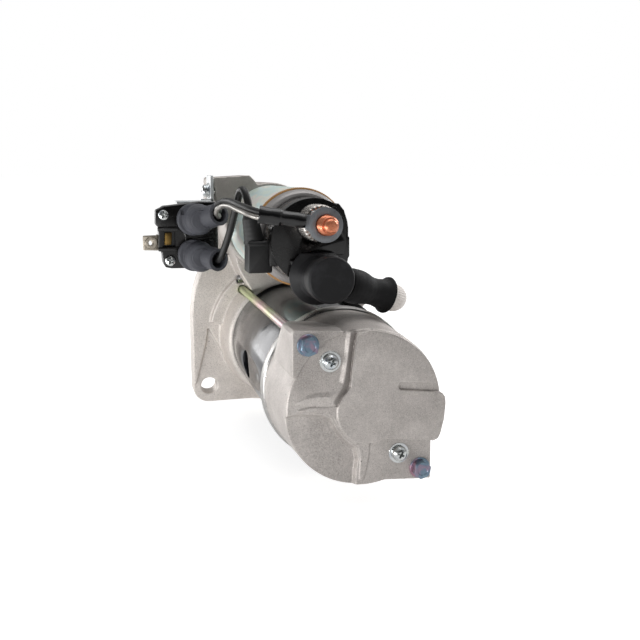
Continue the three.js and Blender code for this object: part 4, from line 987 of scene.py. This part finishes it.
def terminal_cap():
    ox, oz = SOL
    out = round2d([(x, z) for x, z in arc(0, 0, 24.3, 57, 322, 40)] + [(20.4, -9.4), (21.0, -8.8), (20.9, 2), (20.2, 2.6), (20.2, 7.4), (19.6, 11.4), (17.6, 17.4), (14.4, 21.3)], 0.6, 3)
    body = prism("cap", [(x + ox, z + oz) for x, z in out], -184, -160.3)
    boolean(body, rod("c", 18.6, -176, -150, 64, *SOL))
    boolean(body, rod("c", 21.5, -175, -150, 64, *SOL))
    bevel(body, 1.2, 3, 50, 35)
    # round seat of the battery terminal, with a square step below it
    parts = [body]
    seat = lathe("seat", [(5.7, -187.2), (9.4, -187.2), (10.2, -186.4), (10.4, -183.5), (5.7, -183.5)], 72, *B, r=0.25)
    step = prism("step", round2d([(B[0] - 9, B[1] - 19), (B[0] + 17.4, B[1] - 18.6), (B[0] + 18.6, B[1] - 10.5), (B[0] + 17.6, B[1] + 1.5), (B[0] + 12.0, B[1] + 9.0), (B[0] - 4, B[1] + 3)], 1.4, 3), -186.4, -183.6)
    bevel(step, 0.5, 2, 40, 35)
    boolean(step, rod("c", 10.6, -190, -180, 64, *B))
    # boss of the cap screw on the left, with a moulded rim round it
    boss = lathe("boss", [(0, -180.6), (4.3, -180.6), (4.3, -181.6), (5.6, -181.6), (6.1, -181.0), (6.5, -163), (0, -163)], 48, -34.6, 90.2, r=0.25)
    side = prism("side", round2d([(ox - 24.6, oz - 14), (ox - 17, oz - 14), (ox - 17, oz + 0.5), (ox - 24.6, oz + 0.5)], 1.0, 3), -180, -164)
    bevel(side, 0.6, 2, 40, 35)
    rib = prism("rib", round2d([(B[0] - 13.4, B[1] - 23.6), (B[0] + 13.6, B[1] - 23.0), (B[0] + 14.0, B[1] - 20.9), (B[0] - 13.8, B[1] - 20.9)], 0.6, 3), -187.5, -183.6)
    bevel(rib, 0.4, 2, 40, 35)
    # the boss and the block end at the wall of the contact chamber
    for o in (boss, side):
        boolean(o, rod("c", 18.6, -176, -150, 64, *SOL))
    return body, [seat, step, boss, side, rib]


cap, extra = terminal_cap()
boolean(cap, rod("c", 5.6, -190, -170, 40, *B))
boolean(cap, rod("c", 4.4, -190, -170, 40, *M))
cap.name = "terminal_cap_shell"
shade(cap, 35)
keep(cap, "black_plastic", "root", "black_plastic", "terminal_cap")
for o, nm in zip(extra, ("battery_seat", "terminal_step", "screw_boss", "side_block", "barrier_rib")):
    o.name = "terminal_cap_" + nm
    keep(o, "black_plastic", "root", "black_plastic")
for nm, (x, z) in (("left", (-34.6, 90.2)),):
    o = pan_screw("cap_screw_" + nm, -178.9, mat="gold", r=3.3, washer=3.9, spring=False)
    if nm == "left":
        turn_about(o, "Y", 20)
    move(o, x, 0, z)
    keep(o, None, "root", "bright_zinc")

# battery terminal: threaded copper stud, flange, knurled collar
PITCH = 1.25


def thread(y, a):
    t = ((y / PITCH) + a / TAU) % 1.0
    h = abs(t - 0.5) * 2
    fade = min(1.0, max(0.0, (y + 218.9) / 0.9))
    return 5.2 - 0.40 * fade * min(1, max(0, (0.9 - h) / 0.8)) - (1 - fade) * 0.75


stud = grid_turned("battery_stud_thread", thread, -218.9, -202.5, 160, 96, *B, sharp=40)
keep(stud, "copper", "root", "copper", "battery_stud")
tip = lathe("battery_stud_tip", [(0, -222.4), (2.2, -222.35), (3.1, -221.9), (3.65, -221.1), (3.75, -220.4), (3.4, -219.7), (3.1, -219.2), (3.1, -218.2), (0, -218.2)], 96, *B, r=0.2)
keep(tip, "copper", "root", "copper")
low = lathe("battery_stud_base", [(0, -203.5), (5.1, -203.5), (5.2, -170.8), (0, -170.8)], 64, *B, r=0.1)
keep(low, "copper", "root", "copper")
flg = lathe("battery_stud_flange", [(4.9, -209.0), (8.3, -209.0), (9.0, -208.3), (9.0, -206.8), (8.3, -206.1), (4.9, -206.1)], 80, *B, r=0.25)
keep(flg, "copper", "root", "copper")
nut = prism("n", circle(0, 0, 9.3, 6, math.radians(11)), -206.0, -201.7)
nc = lathe("c", [(0, -206.1), (8.0, -206.0), (9.4, -205.2), (9.4, -202.4), (8.0, -201.7), (0, -201.7)], 64, r=0)
boolean(nut, nc, "INTERSECT")
boolean(nut, rod("c", 5.25, -210, -198, 48))
bevel(nut, 0.12, 1, 30)
nut.name = "battery_stud_nut"
move(nut, B[0], 0, B[1])
keep(nut, "zinc", "root", "bright_zinc")


def knurl(y, a):
    t = abs(((a * 26 / TAU + y * 0.42) % 1.0) - 0.5) + abs(((a * 26 / TAU - y * 0.42) % 1.0) - 0.5)
    edge = min(1.0, (y + 201.5) / 0.7, (-187.3 - y) / 0.7)
    return 9.9 + 0.5 * min(1, max(0, (t - 0.25) * 2.0)) * max(0.0, edge) - 0.4 * (1 - max(0.0, edge))


col = grid_turned("terminal_collar_knurled", knurl, -201.5, -187.3, 48, 312, *B, inner=5.6, sharp=50)
keep(col, "knurl", "root", "bright_zinc", "terminal_collar")


# eyelet of the feed wires, with its neck
def eyelet():
    disc = prism("d", circle(B[0], B[1], 9.4, 96), -211, -209.2)
    neck = prism("n", [(-24.0, 91.6), (-29.6, 95.6), (-31.6, 96.9), (-31.8, 101.6), (-29.4, 101.6), (-23.4, 101.6), (-18, 100), (-18, 93)], -210.9, -209.3)
    boolean(disc, neck, "UNION")
    boolean(disc, rod("c", 5.7, -215, -205, 64, *B))
    bevel(disc, 0.28, 2, 40)
    return disc


eye = eyelet()
eye.name = "battery_eyelet_plate"
keep(eye, "eyelet", "root", "steel", "battery_eyelet")

# ------------------------------------------------------------------ feed wires and their shrink sleeve
SA, SB = Vector((-27.2, -210.1, 98.2)), Vector((-51.8, -205.5, 102))
D = (SB - SA).normalized()
L = (SB - SA).length
ov = lambda d, a: 1.0
sl = sheath("eyelet_sleeve_shrink", [tuple(SA + D * t) for t in (0.4, 1.4, 5.0, 9.0, 12.4, 13.4, 14.2, L - 4.0, L - 0.6, L)],
            [3.2, 3.6, 3.85, 3.75, 3.7, 3.85, 4.4, 4.25, 4.5, 4.3], [2.0, 2.2, 2.3, 2.3, 2.3, 2.3, 2.6, 2.9, 3.3, 3.6], 48, 0.5,
            section=lambda d, a: 1.0 + 0.05 * math.cos(2 * a) + 0.012 * math.sin(3 * a + d * 0.6))
keep(sl, "heat_shrink", "root", "wire_black", "eyelet_sleeve")
route = [(-46.0, -206.6, 101.1), (-51.8, -205.3, 102), (-55.8, -198, 103.4), (-59.4, -182, 105.2), (-61, -164, 106.2), (-63, -150, 105.6), (-65.2, -144, 103.6), (-65.1, -140.4, 101), (-63.4, -136.8, 99.3), (-63.3, -133.2, 98.7), (-64.4, -129.5, 98.2)]


def beside(pts, gap, updir=(0.1, 0, 1)):
    out = []
    for i, p in enumerate(pts):
        a, b = Vector(pts[max(i - 1, 0)]), Vector(pts[min(i + 1, len(pts) - 1)])
        t = (b - a).normalized()
        w = (Vector(updir) - t * t.dot(Vector(updir))).normalized()
        out.append(tuple(Vector(p) + w * gap))
    return out


w1 = sweep("feed_wire_black", beside(route, 1.5), 1.55, 28, 0.8)
w2 = sweep("feed_wire_silver", beside(route, -1.5), 1.55, 28, 0.8)
keep(w1, "wire_black", "root", "wire_tinned", "feed_wires")
keep(w2, "wire_silver", "root", "wire_tinned")

# ------------------------------------------------------------------ motor terminal boot, lead sleeve and braid
S0, S1 = Vector((-16, -201, 67.4)), Vector((26, -190, 53.6))
SD = (S1 - S0).normalized()
L = (S1 - S0).length
mb = [lathe("b", [(0, -219), (11.8, -219), (12.6, -218.2), (12.9, -216.4), (12.8, -213), (12.1, -207), (11.3, -201.5), (11.2, -196.5), (12.4, -192.5), (15.0, -190.0), (16.2, -188.8), (16.4, -187.6), (15.8, -186.6), (12.9, -185.6), (12.4, -184.3), (0, -184.3)], 140, -15.5, 67.7, r=0.35)]
for v in mb[0].data.vertices:
    t = max(0.0, v.co.y / MM + 219) / 32
    v.co.z -= 1.7 * MM * t
boolean(mb[0], block("c", -40, 12, -197.5, -170, 79.4, 99))
arm = lathe("a", [(0, 2), (9.4, 2), (9.2, 15.6), (0, 15.6)], 64, r=0.3)
mb.append(place(arm, S0, SD))
boot = join("motor_terminal_boot_skin", mb)
melt(boot, 0.38, 3, None)
boolean(boot, lathe("c", [(0, -215.8), (7.6, -215.8), (7.8, -198), (9.0, -194), (9.5, -180), (0, -180)], 48, *M, r=0))
boolean(boot, place(rod("c", 6.2, 6, 30, 32), S0, SD))
shade(boot, 50)
keep(boot, "black_rubber", "root", "black_rubber", "motor_terminal_boot")
mstud = lathe("motor_stud_post", [(0, -212), (3.4, -212), (4.0, -211.4), (4.0, -171), (0, -171)], 48, *M, r=0.2)
keep(mstud, "copper", "root", "copper", "motor_stud")
mnut = prism("motor_stud_nut", circle(M[0], M[1], 7.0, 6), -206.5, -202.5)
bevel(mnut, 0.3, 2, 30)
keep(mnut, "zinc", "root", "copper")
ts = [15.9, 18, 21, 24.0, 27.0, 29.5, 32, 34.5, 37.0, L - 6.0, L - 3.9, L - 2.7, L - 1.8, L - 1.5]
ro = [9.3, 9.7, 9.8, 9.6, 9.0, 8.3, 7.8, 7.8, 8.1, 8.5, 9.2, 10.4, 10.6, 10.1]
ri = [6.8] * len(ts)
wob = lambda d, a: 1.0 + 0.012 * mnoise.noise((math.cos(a) * 1.3, math.sin(a) * 1.3, d * 0.16)) * 3
ls = sheath("lead_sleeve_skin", [tuple(S0 + SD * t) for t in ts], ro, ri, 72, 0.5, section=wob)
keep(ls, "sleeve", "root", "sleeve_cloth", "lead_sleeve")
P = lambda t: tuple(S0 + SD * t)
lead = [P(10), P(24), P(36), P(44.4), (29.6, -187.4, 52.2), (31.8, -181, 51.4), (33, -168, 50.2), (32.6, -150, 49.6), (31.9, -138, 48.4), (31.4, -129.5, 46.6), (29.8, -123.8, 43.6), (27.6, -122, 40.5), (24.2, -122, 35.6), (22.8, -122, 33.5)]


def knit(d, a):
    wale = abs(math.sin(a * 17 + 0.35 * math.sin(d * TAU / 1.5)))
    row = 0.5 + 0.5 * math.cos(d * TAU / 0.75 + 2.0 * abs(math.sin(a * 17)))
    return 1.0 - 0.05 + 0.075 * wale ** 0.7 * (0.72 + 0.28 * row)


br = sweep("motor_lead_braid", lead, [5.85, 5.85, 6.2, 7.6, 7.9, 7.6, 7.4, 7.0, 6.8, 6.6, 6.3, 6.1, 5.9, 5.9], 204, 0.22, section=knit, sharp=None)
keep(br, "knit", "root", "cotton_braid", "motor_lead")
gr = place(lathe("lead_grommet_ring", [(6.6, -4), (8.2, -4), (8.2, 0.5), (10.4, 0.5), (10.4, 2.2), (9.6, 4.6), (6.6, 4.6)], 64, r=0.5), GROM, GDIR)
keep(gr, "black_rubber", "root", "black_rubber", "lead_grommet")

# ------------------------------------------------------------------ control connector and wire
cb = prism("c", round2d([(-52.6, 67.3), (-39.0, 67.3), (-38.6, 85.2), (-52.2, 85.2)], 0.8, 3), -176, -161)
bevel(cb, 0.7, 3, 50, 35)
edge = block("e", -52.7, -38.2, -176.3, -160.8, 82.6, 84.4)
bevel(edge, 0.4, 2)
conn = join("control_connector_body", [cb, edge])
shade(conn, 35)
keep(conn, "black_satin", "root", "black_plastic", "control_connector")
ND = (-0.16, 0, 1)
neck = grid_turned("n", lambda y, a: 5.75 - 1.15 * (max(0, y) / 13) - (max(0, y - 13) / 3.6) * 1.0 + 0.02 * math.sin(y * TAU / 2.6), 0.0, 16.4, 130, 56, inner=2.45, sharp=40)
place(neck, (-47.8, -168.4, 84.8), ND)
neck.name = "control_connector_seal"
keep(neck, "black_satin", "root", "black_plastic")
cw = [(-49.6, -168.4, 95), (-50.4, -168.3, 101), (-51.1, -167.2, 108), (-52.4, -163.6, 113.2), (-53.6, -158, 113), (-54.6, -152.4, 106.4), (-56.2, -147, 97), (-58.2, -142, 87.4), (-61, -138, 77.6), (-62.6, -136, 73.2), (-63.9, -133.6, 71), (-65.2, -130.6, 70.9)]
cwo = sweep("control_wire_skin", cw, 2.15, 28, 0.8)
keep(cwo, "wire_black", "root", "wire_black", "control_wire")

# ------------------------------------------------------------------ relay
MOUTH = {"upper": ((-75, -116, 94.4), (-62.8, -134, 98.9)), "lower": ((-75, -116, 71.9), (-63.7, -134, 71.0))}
for nm, (c, e) in MOUTH.items():
    c, e = Vector(c), Vector(e)
    d = (e - c)
    L = d.length
    d = d / L
    bx, bz = c.x - 1.6, c.z + (0.2 if nm == "upper" else 0.4)
    fx, fz = c.x + 1.6, c.z + (0.4 if nm == "upper" else -0.2)
    parts = [lathe("base", [(0, -116.6), (9.2, -116.6), (10.0, -115.8), (10.0, -110), (0, -110)], 72, bx, bz, r=0.4)]
    parts.append(lathe("dome", [(0, -127.6), (5.6, -127.6), (8.0, -126.2), (9.2, -122.8), (9.5, -119), (9.6, -112), (0, -112)], 72, fx, fz, r=0.7))
    s = c + Vector((3.4, -2.6, 0.4))
    d = (e - s)
    L = d.length
    d = d / L
    parts.append(place(lathe("arm", [(0, 0), (7.2, 0), (7.0, L - 8), (6.6, L - 1.4), (7.1, L - 0.6), (7.1, L), (0, L)], 64, r=0.4), s, d))
    parts.append(hull("web", [(fx + 8.9 * math.cos(a), y, fz + 8.9 * math.sin(a)) for a in [TAU * i / 32 for i in range(32)] for y in (-112, -117.6)] +
                      [tuple(s + d * (L - 9) + (Matrix.Rotation(a, 3, d) @ d.orthogonal().normalized()) * 6.6) for a in [TAU * i / 24 for i in range(24)]]))
    bt = join("b", parts)
    # thin round face on the dome, with a groove round it
    melt(bt, 0.4, 3, None)
    boolean(bt, place(rod("c", 5.0, L - 9.5, L + 9, 40), s, d))
    boolean(bt, rod("c", 5.4, -117.5, -100, 40, c.x, c.z))
    boolean(bt, tube("c", 6.3, 5.9, -130, -127.2, 64, fx, fz, r=0))
    if nm == "upper":
        boolean(bt, block("c", c.x - 9.4, c.x - 7.4, -119.5, -115.2, c.z + 3.4, c.z + 6.6))
    else:
        boolean(bt, block("c", c.x - 6.4, c.x - 2.0, -120.5, -116.0, c.z + 8.2, c.z + 10.4))
    face = lathe("f", [(0, -128.3), (5.3, -128.3), (5.7, -127.9), (5.7, -126.8), (0, -126.8)], 72, fx, fz, r=0.15)
    bt = join("b", [bt, face])
    bt.name = "relay_boot_%s_skin" % nm
    shade(bt, 50)
    keep(bt, "grey_rubber", "root", "grey_rubber", "relay_boot_" + nm)


def relay():
    out = round2d([(-90.5, 63.6), (-62.4, 63.2), (-60.4, 65), (-60.4, 104.2), (-62.2, 105.2), (-71.5, 105.4), (-93.4, 102.8), (-99.2, 100.2), (-99.6, 91.4), (-97.6, 89.6), (-98.2, 76.2), (-96.2, 73.6), (-95.6, 67.2), (-94.0, 64.4)], 1.6, 3)
    front = prism("f", out, -108, -97)
    bevel(front, 0.7, 3, 50, 35)
    boolean(front, block("c", -95.6, -87.4, -110, -103.6, 75.8, 89.2))
    return front


rl = relay()
rl.name = "relay_cover"
shade(rl, 35)
keep(rl, "black_plastic", "root", "black_plastic", "relay_body")
can = prism("relay_case", round2d([(-90.0, 65.2), (-62, 65.0), (-60.4, 65.6), (-60.4, 102.4), (-62, 103.8), (-92.4, 101.6), (-95.2, 99.4), (-95.2, 74.0), (-92.6, 68.0)], 2.0, 4), -97.0, -66)
bevel(can, 0.5, 2, 50, 35)
keep(can, "zinc", "root", "bright_zinc")
# bars across the contact chamber, its walls and the round chamber behind
bits = []
for z0, z1, y0 in ((87.2, 90.2, -109.0), (74.6, 77.4, -109.0)):
    b = prism("b", round2d([(-98.4, z0), (-86.2, z0 + 0.2), (-84.8, z0 + 1.4), (-86.2, z1), (-98.4, z1 - 0.3)], 0.8, 3), y0, -106)
    bits.append(bevel(b, 0.35, 2, 40))
bits.append(lathe("b", [(8.2, -109.4), (9.5, -109.4), (9.8, -108.8), (9.8, -107), (8.2, -107)], 72, -89.6, 82.4, r=0.3))
boolean(bits[-1], block("c", -102, -85.8, -112, -100, 70, 95))
for z in (94.4, 71.8):
    bits.append(rod("s", 5, -116, -107, 48, -75, z, r=0.3))
bits.append(bevel(block("r", -73.0, -64.0, -109.2, -107.6, 80.6, 81.6), 0.3, 2))
bits.append(bevel(block("r", -73.4, -65.0, -109.0, -107.6, 82.6, 83.3), 0.25, 2))
rb = join("relay_cover_bars", bits)
shade(rb, 35)
keep(rb, "black_plastic", "root", "black_plastic")
bl = prism("b", round2d([(-94.2, 78.2), (-89.8, 78.2), (-89.2, 86.2), (-93.8, 86.2)], 0.5, 2), -105.6, -103.7)
bevel(bl, 0.3, 2)
bl.name = "relay_contact"
keep(bl, "contact", "root", "tinned_brass")
for nm, (x, z) in (("upper", (-94.4, 97.4)), ("lower", (-91.1, 68.7))):
    o = pan_screw("relay_screw_" + nm, -107.9, r=3.3, washer=0, spring=False)
    turn_about(o, "Y", 31)
    move(o, x, 0, z)
    keep(o, None, "root", "bright_zinc")
tb = prism("t", round2d([(-107.4, 75.2), (-97.3, 74.8), (-97.3, 84.6), (-107.4, 84.4)], 1.0, 3), -104.4, -103.2)
boolean(tb, rod("c", 1.6, -110, -100, 32, -103.4, 79.7))
bevel(tb, 0.2, 2, 40)
leg = bevel(block("l", -98.5, -97.3, -104.4, -92, 75.4, 84.2), 0.2, 2)
dim = lathe("d", [(1.7, -105.0), (3.6, -105.0), (4.0, -104.3), (1.7, -104.3)], 48, -102.2, 79.9, r=0.15)
tab = join("relay_tab_blade", [tb, leg, dim])
shade(tab, 35)
keep(tab, "tin", "root", "tinned_brass", "relay_tab")
bk = [block("b", -59.2, -57.2, -65.4, -42, 84, 121.5), block("b", -92, -57.2, -65.4, -63.6, 68, 98), block("b", -66, -57.2, -65.4, -63.6, 97, 105.8), block("b", -84, -60, -84, -64, 103.4, 104.8)]
for b in bk:
    bevel(b, 0.4, 2)
h = rod("c", 2.9, -14, 10, 24)
h.data.transform(Matrix.Rotation(math.radians(90), 4, "Z"))
boolean(bk[0], move(h, -56, -56, 111))
brk = join("relay_bracket_plate", bk)
shade(brk, 35)
keep(brk, "zinc_plate", "root", "bright_zinc", "relay_bracket")
o = pan_screw("relay_bracket_screw_head", 0, r=4.3, washer=5.2, shank=8)
o.data.transform(Matrix.Rotation(math.radians(-90), 4, "Z"))
move(o, -59.3, -56, 111)
keep(o, None, "root", "bright_zinc", "relay_bracket_screw")

# ------------------------------------------------------------------ drive end
nb = tube("nose_bush_sleeve", 9.9, 7.6, 56, 72, 96, r=0.4)
keep(nb, "bronze", "root", "bronze", "nose_bush")
drum = lathe("clutch_drum_turned", [(7.6, -38), (18, -38), (18, -35), (12.6, -35), (12.6, -24), (19.5, -24), (19.5, -4), (16, -2.6), (11.6, -2.6), (11.6, -1.2), (7.6, -1.2)], 128, r=0.45)
boolean(drum, tube("c", 20.5, 19.1, -21.2, -20.4, 96, r=0))
boolean(drum, tube("c", 20.5, 19.1, -7.4, -6.6, 96, r=0))
shade(drum, 40)
keep(drum, "steel", "clutch", "steel", "clutch_drum")


def gear(name, teeth, mod, y0, y1, bore, addendum=1.0, dedendum=1.25, chamfer=1.2):
    rp, ra, rf = mod * teeth / 2, mod * (teeth / 2 + addendum * 0.92), mod * (teeth / 2 - dedendum * 0.9)
    rb = rp * math.cos(math.radians(20))
    inv = lambda r: math.sqrt(max((r / rb) ** 2 - 1, 0)) - math.atan(math.sqrt(max((r / rb) ** 2 - 1, 0)))
    half = math.pi / 2 / teeth + inv(rp)
    pts = []
    for k in range(teeth):
        c = TAU * k / teeth
        left, right = [], []
        lo = max(rb, rf)
        for i in range(9):
            r = lo + (ra - lo) * i / 8
            w = half - inv(r)
            left.append((r, c - w))
            right.append((r, c + w))
        w0 = half
        root = [(rf, c - min(w0 * 1.12, math.pi / teeth * 0.94))]
        root2 = [(rf, c + min(w0 * 1.12, math.pi / teeth * 0.94))]
        pts += root + left + right[::-1] + root2
    out = [(r * math.cos(a), r * math.sin(a)) for r, a in pts]
    g = prism(name, out, y0, y1)
    ch = lathe("c", [(0, y0), (ra - 0.4, y0), (ra + 0.4, y0 + 0.6), (ra + 0.4, y1 - chamfer), (ra - chamfer, y1 + 0.01), (0, y1 + 0.01)], 96, r=0)
    boolean(g, ch, "INTERSECT")
    boolean(g, rod("c", bore, y0 - 5, y1 + 5, 64))
    bevel(g, 0.16, 2, 40, 35)
    return g


pn = gear("drive_pinion_teeth", 11, 3, 2, 22, 7.6)
pt = tube("drive_pinion_tube", 11, 7.6, -0.9, 2.4, 96, r=0.3)
keep(pn, "steel", "drive_pinion", "steel", "pinion")
keep(pt, "steel", "drive_pinion", "steel")
sc = tube("stop_collar_ring", 10.8, 7.6, 36.5, 41.5, 96, r=0.5)
keep(sc, "dark_steel", "carrier", "dark_steel", "stop_collar")


def output_shaft():
    body = lathe("s", [(0, -64.2), (26, -64.2), (26, -58.5), (11, -58.5), (11, -45.5), (7.2, -45.5), (7.2, 66), (0, 66)], 96, r=0.5)
    pins = []
    for k in range(3):
        a = ANG0 + TAU * k / 3
        pins.append(rod("p", 4, -77, -63.5, 40, 18.75 * math.cos(a), 18.75 * math.sin(a), r=0.3))
    return body, pins


c1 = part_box("planet_gear_1")
cx1, cz1 = (c1[0].x + c1[1].x) / 2 / MM, (c1[0].z + c1[1].z) / 2 / MM
ANG0 = math.atan2(cz1, cx1)
shaft, pins = output_shaft()
keep(shaft, "steel", "carrier", "steel", "output_shaft")
shaft.name = "output_shaft_turned"
for i, p in enumerate(pins):
    p.name = "planet_pin_%d" % (i + 1)
    keep(p, "steel", "carrier", "steel")

# ------------------------------------------------------------------ inner parts kept as drawn, with their finishes
FINISH = {"rear_bearing": "bronze", "pole_shoe": "dark_steel", "field_winding": "enamel", "brush_plate": "fibre", "brush_": "carbon", "armature_shaft": "steel", "armature_core": "dark_steel", "armature_stack": "dark_steel", "armature_winding": "enamel", "commutator": "commutator", "center_plate": "dark_steel", "planet_gear": "steel", "ring_gear": "dark_steel", "sun": "steel", "shift_lever": "black_satin", "lever_pivot_pin": "steel", "solenoid_coil": "enamel", "plunger": "steel", "return_spring": "steel", "contact_disc": "copper", "armature": "dark_steel"}
for name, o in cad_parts.items():
    if name in REPLACED:
        continue
    for key in sorted(FINISH, key=len, reverse=True):
        if name.startswith(key):
            for s in o.material_slots:
                s.material = MAT[FINISH[key]]
            if not o.material_slots:
                o.data.materials.append(MAT[FINISH[key]])
            break
    else:
        print("no finish for", name)


# ------------------------------------------------------------------ camera, light and floor
cam_data = bpy.data.cameras.new("camera")
cam = bpy.data.objects.new("camera", cam_data)
scene.collection.objects.link(cam)
right, up, back = Vector((0.967, -0.2546, 0)), Vector((0.0462, 0.1754, 0.9834)), Vector((-0.2504, -0.951, 0.1814))
rot = Matrix((right, up, back)).transposed().to_quaternion()
cam.rotation_mode = "QUATERNION"
cam.rotation_quaternion = rot
cam.location = (-0.1279, -0.6202, 0.1235)
cam_data.sensor_width = 36
cam_data.lens = 44.97
cam_data.clip_start = 0.01
cam_data.clip_end = 100
scene.camera = cam

WORLD = (0.045, 0.13, 0.40, 0.24, 0.34)
KEY = (0.5, 3.2, 3.3)
floor = new_obj("floor", [(-30000, -30000, -56), (30000, -30000, -56), (30000, 30000, -56), (-30000, 30000, -56)], [[0, 1, 2, 3]])
g = Graph("floor_white")
g.set(Base_Color=g.mix(g.band(g.noise(g.vec(), 0.01, 3, 0.5), 0.3, 0.7, 0, 0.05), (0.52, 0.52, 0.52, 1), (0.49, 0.49, 0.49, 1)), Roughness=1.0, Specular_IOR_Level=0.0, Emission_Color=(1, 1, 1, 1))
lp = g.t.nodes.new("ShaderNodeLightPath")
g.set(Emission_Strength=g.math("ADD", g.math("MULTIPLY", lp.outputs["Is Camera Ray"], 0.36), 0.44))
floor.data.materials.append(g.m)

world = bpy.data.worlds.new("studio")
scene.world = world
world.use_nodes = True
wt = world.node_tree
wt.nodes.clear()
wo = wt.nodes.new("ShaderNodeOutputWorld")
room = wt.nodes.new("ShaderNodeBackground")
sweep_ = wt.nodes.new("ShaderNodeBackground")
tc = wt.nodes.new("ShaderNodeTexCoord")


def lobe(direction, lo, hi, a, b):
    d = wt.nodes.new("ShaderNodeVectorMath")
    d.operation = "DOT_PRODUCT"
    d.inputs[1].default_value = Vector(direction).normalized()
    wt.links.new(tc.outputs["Generated"], d.inputs[0])
    r = wt.nodes.new("ShaderNodeMapRange")
    r.interpolation_type = "SMOOTHSTEP"
    for i, v in enumerate((lo, hi, a, b)):
        r.inputs[i + 1].default_value = v
    wt.links.new(d.outputs["Value"], r.inputs[0])
    return r.outputs[0]


def add(*socks):
    out = socks[0]
    for k in socks[1:]:
        n = wt.nodes.new("ShaderNodeMath")
        n.operation = "ADD"
        wt.links.new(out, n.inputs[0])
        wt.links.new(k, n.inputs[1])
        out = n.outputs[0]
    return out


# the room: soft light from the left, from above and from behind, little from the front
level = add(lobe((-1, -0.1, 0.1), 0.2, 1.0, WORLD[0], WORLD[1]), lobe((0.1, 0.1, 1), 0.25, 0.95, 0.0, WORLD[2]), lobe((0.1, 1, 0.1), 0.1, 1.0, 0.0, WORLD[3]), lobe((1, 0.1, 0.2), 0.3, 1.0, 0.0, WORLD[4]))
wt.links.new(level, room.inputs[1])
room.inputs[0].default_value = (1, 1, 1, 1)
# and a plain white backdrop all round it
sweep_.inputs[0].default_value = (1, 1, 1, 1)
sweep_.inputs[1].default_value = 1.0
lp = wt.nodes.new("ShaderNodeLightPath")
mx = wt.nodes.new("ShaderNodeMixShader")
wt.links.new(lp.outputs["Is Camera Ray"], mx.inputs[0])
wt.links.new(room.outputs[0], mx.inputs[1])
wt.links.new(sweep_.outputs[0], mx.inputs[2])
wt.links.new(mx.outputs[0], wo.inputs[0])


def area(name, loc, target, size, power, colour=(1, 1, 1), size_y=None):
    l = bpy.data.lights.new(name, "AREA")
    l.energy = power
    l.size = size
    if size_y:
        l.shape = "RECTANGLE"
        l.size_y = size_y
    l.color = colour
    o = bpy.data.objects.new(name, l)
    scene.collection.objects.link(o)
    o.location = loc
    o.rotation_mode = "QUATERNION"
    o.rotation_quaternion = (Vector(target) - Vector(loc)).to_track_quat("-Z", "Y")
    return o


area("key_left", (-0.42, -0.13, 0.0), (-0.04, -0.10, 0.0), 0.28, KEY[0], size_y=0.12)
area("low_front", (-0.30, -0.42, -0.028), (-0.03, -0.2, -0.01), 0.22, 0.65, size_y=0.05)
area("strip_left", (-0.47, 0.55, 0.06), (0, -0.1, 0), 0.45, 1.8)
area("top", (0.05, -0.12, 0.85), (0, -0.1, 0), 0.7, KEY[1])
area("edge_right", (0.74, 0.2, 0.44), (0, -0.1, 0.03), 0.4, KEY[2])

scene.view_settings.view_transform = "Standard"
scene.view_settings.look = "None"
scene.view_settings.exposure = 0
scene.view_settings.gamma = 1
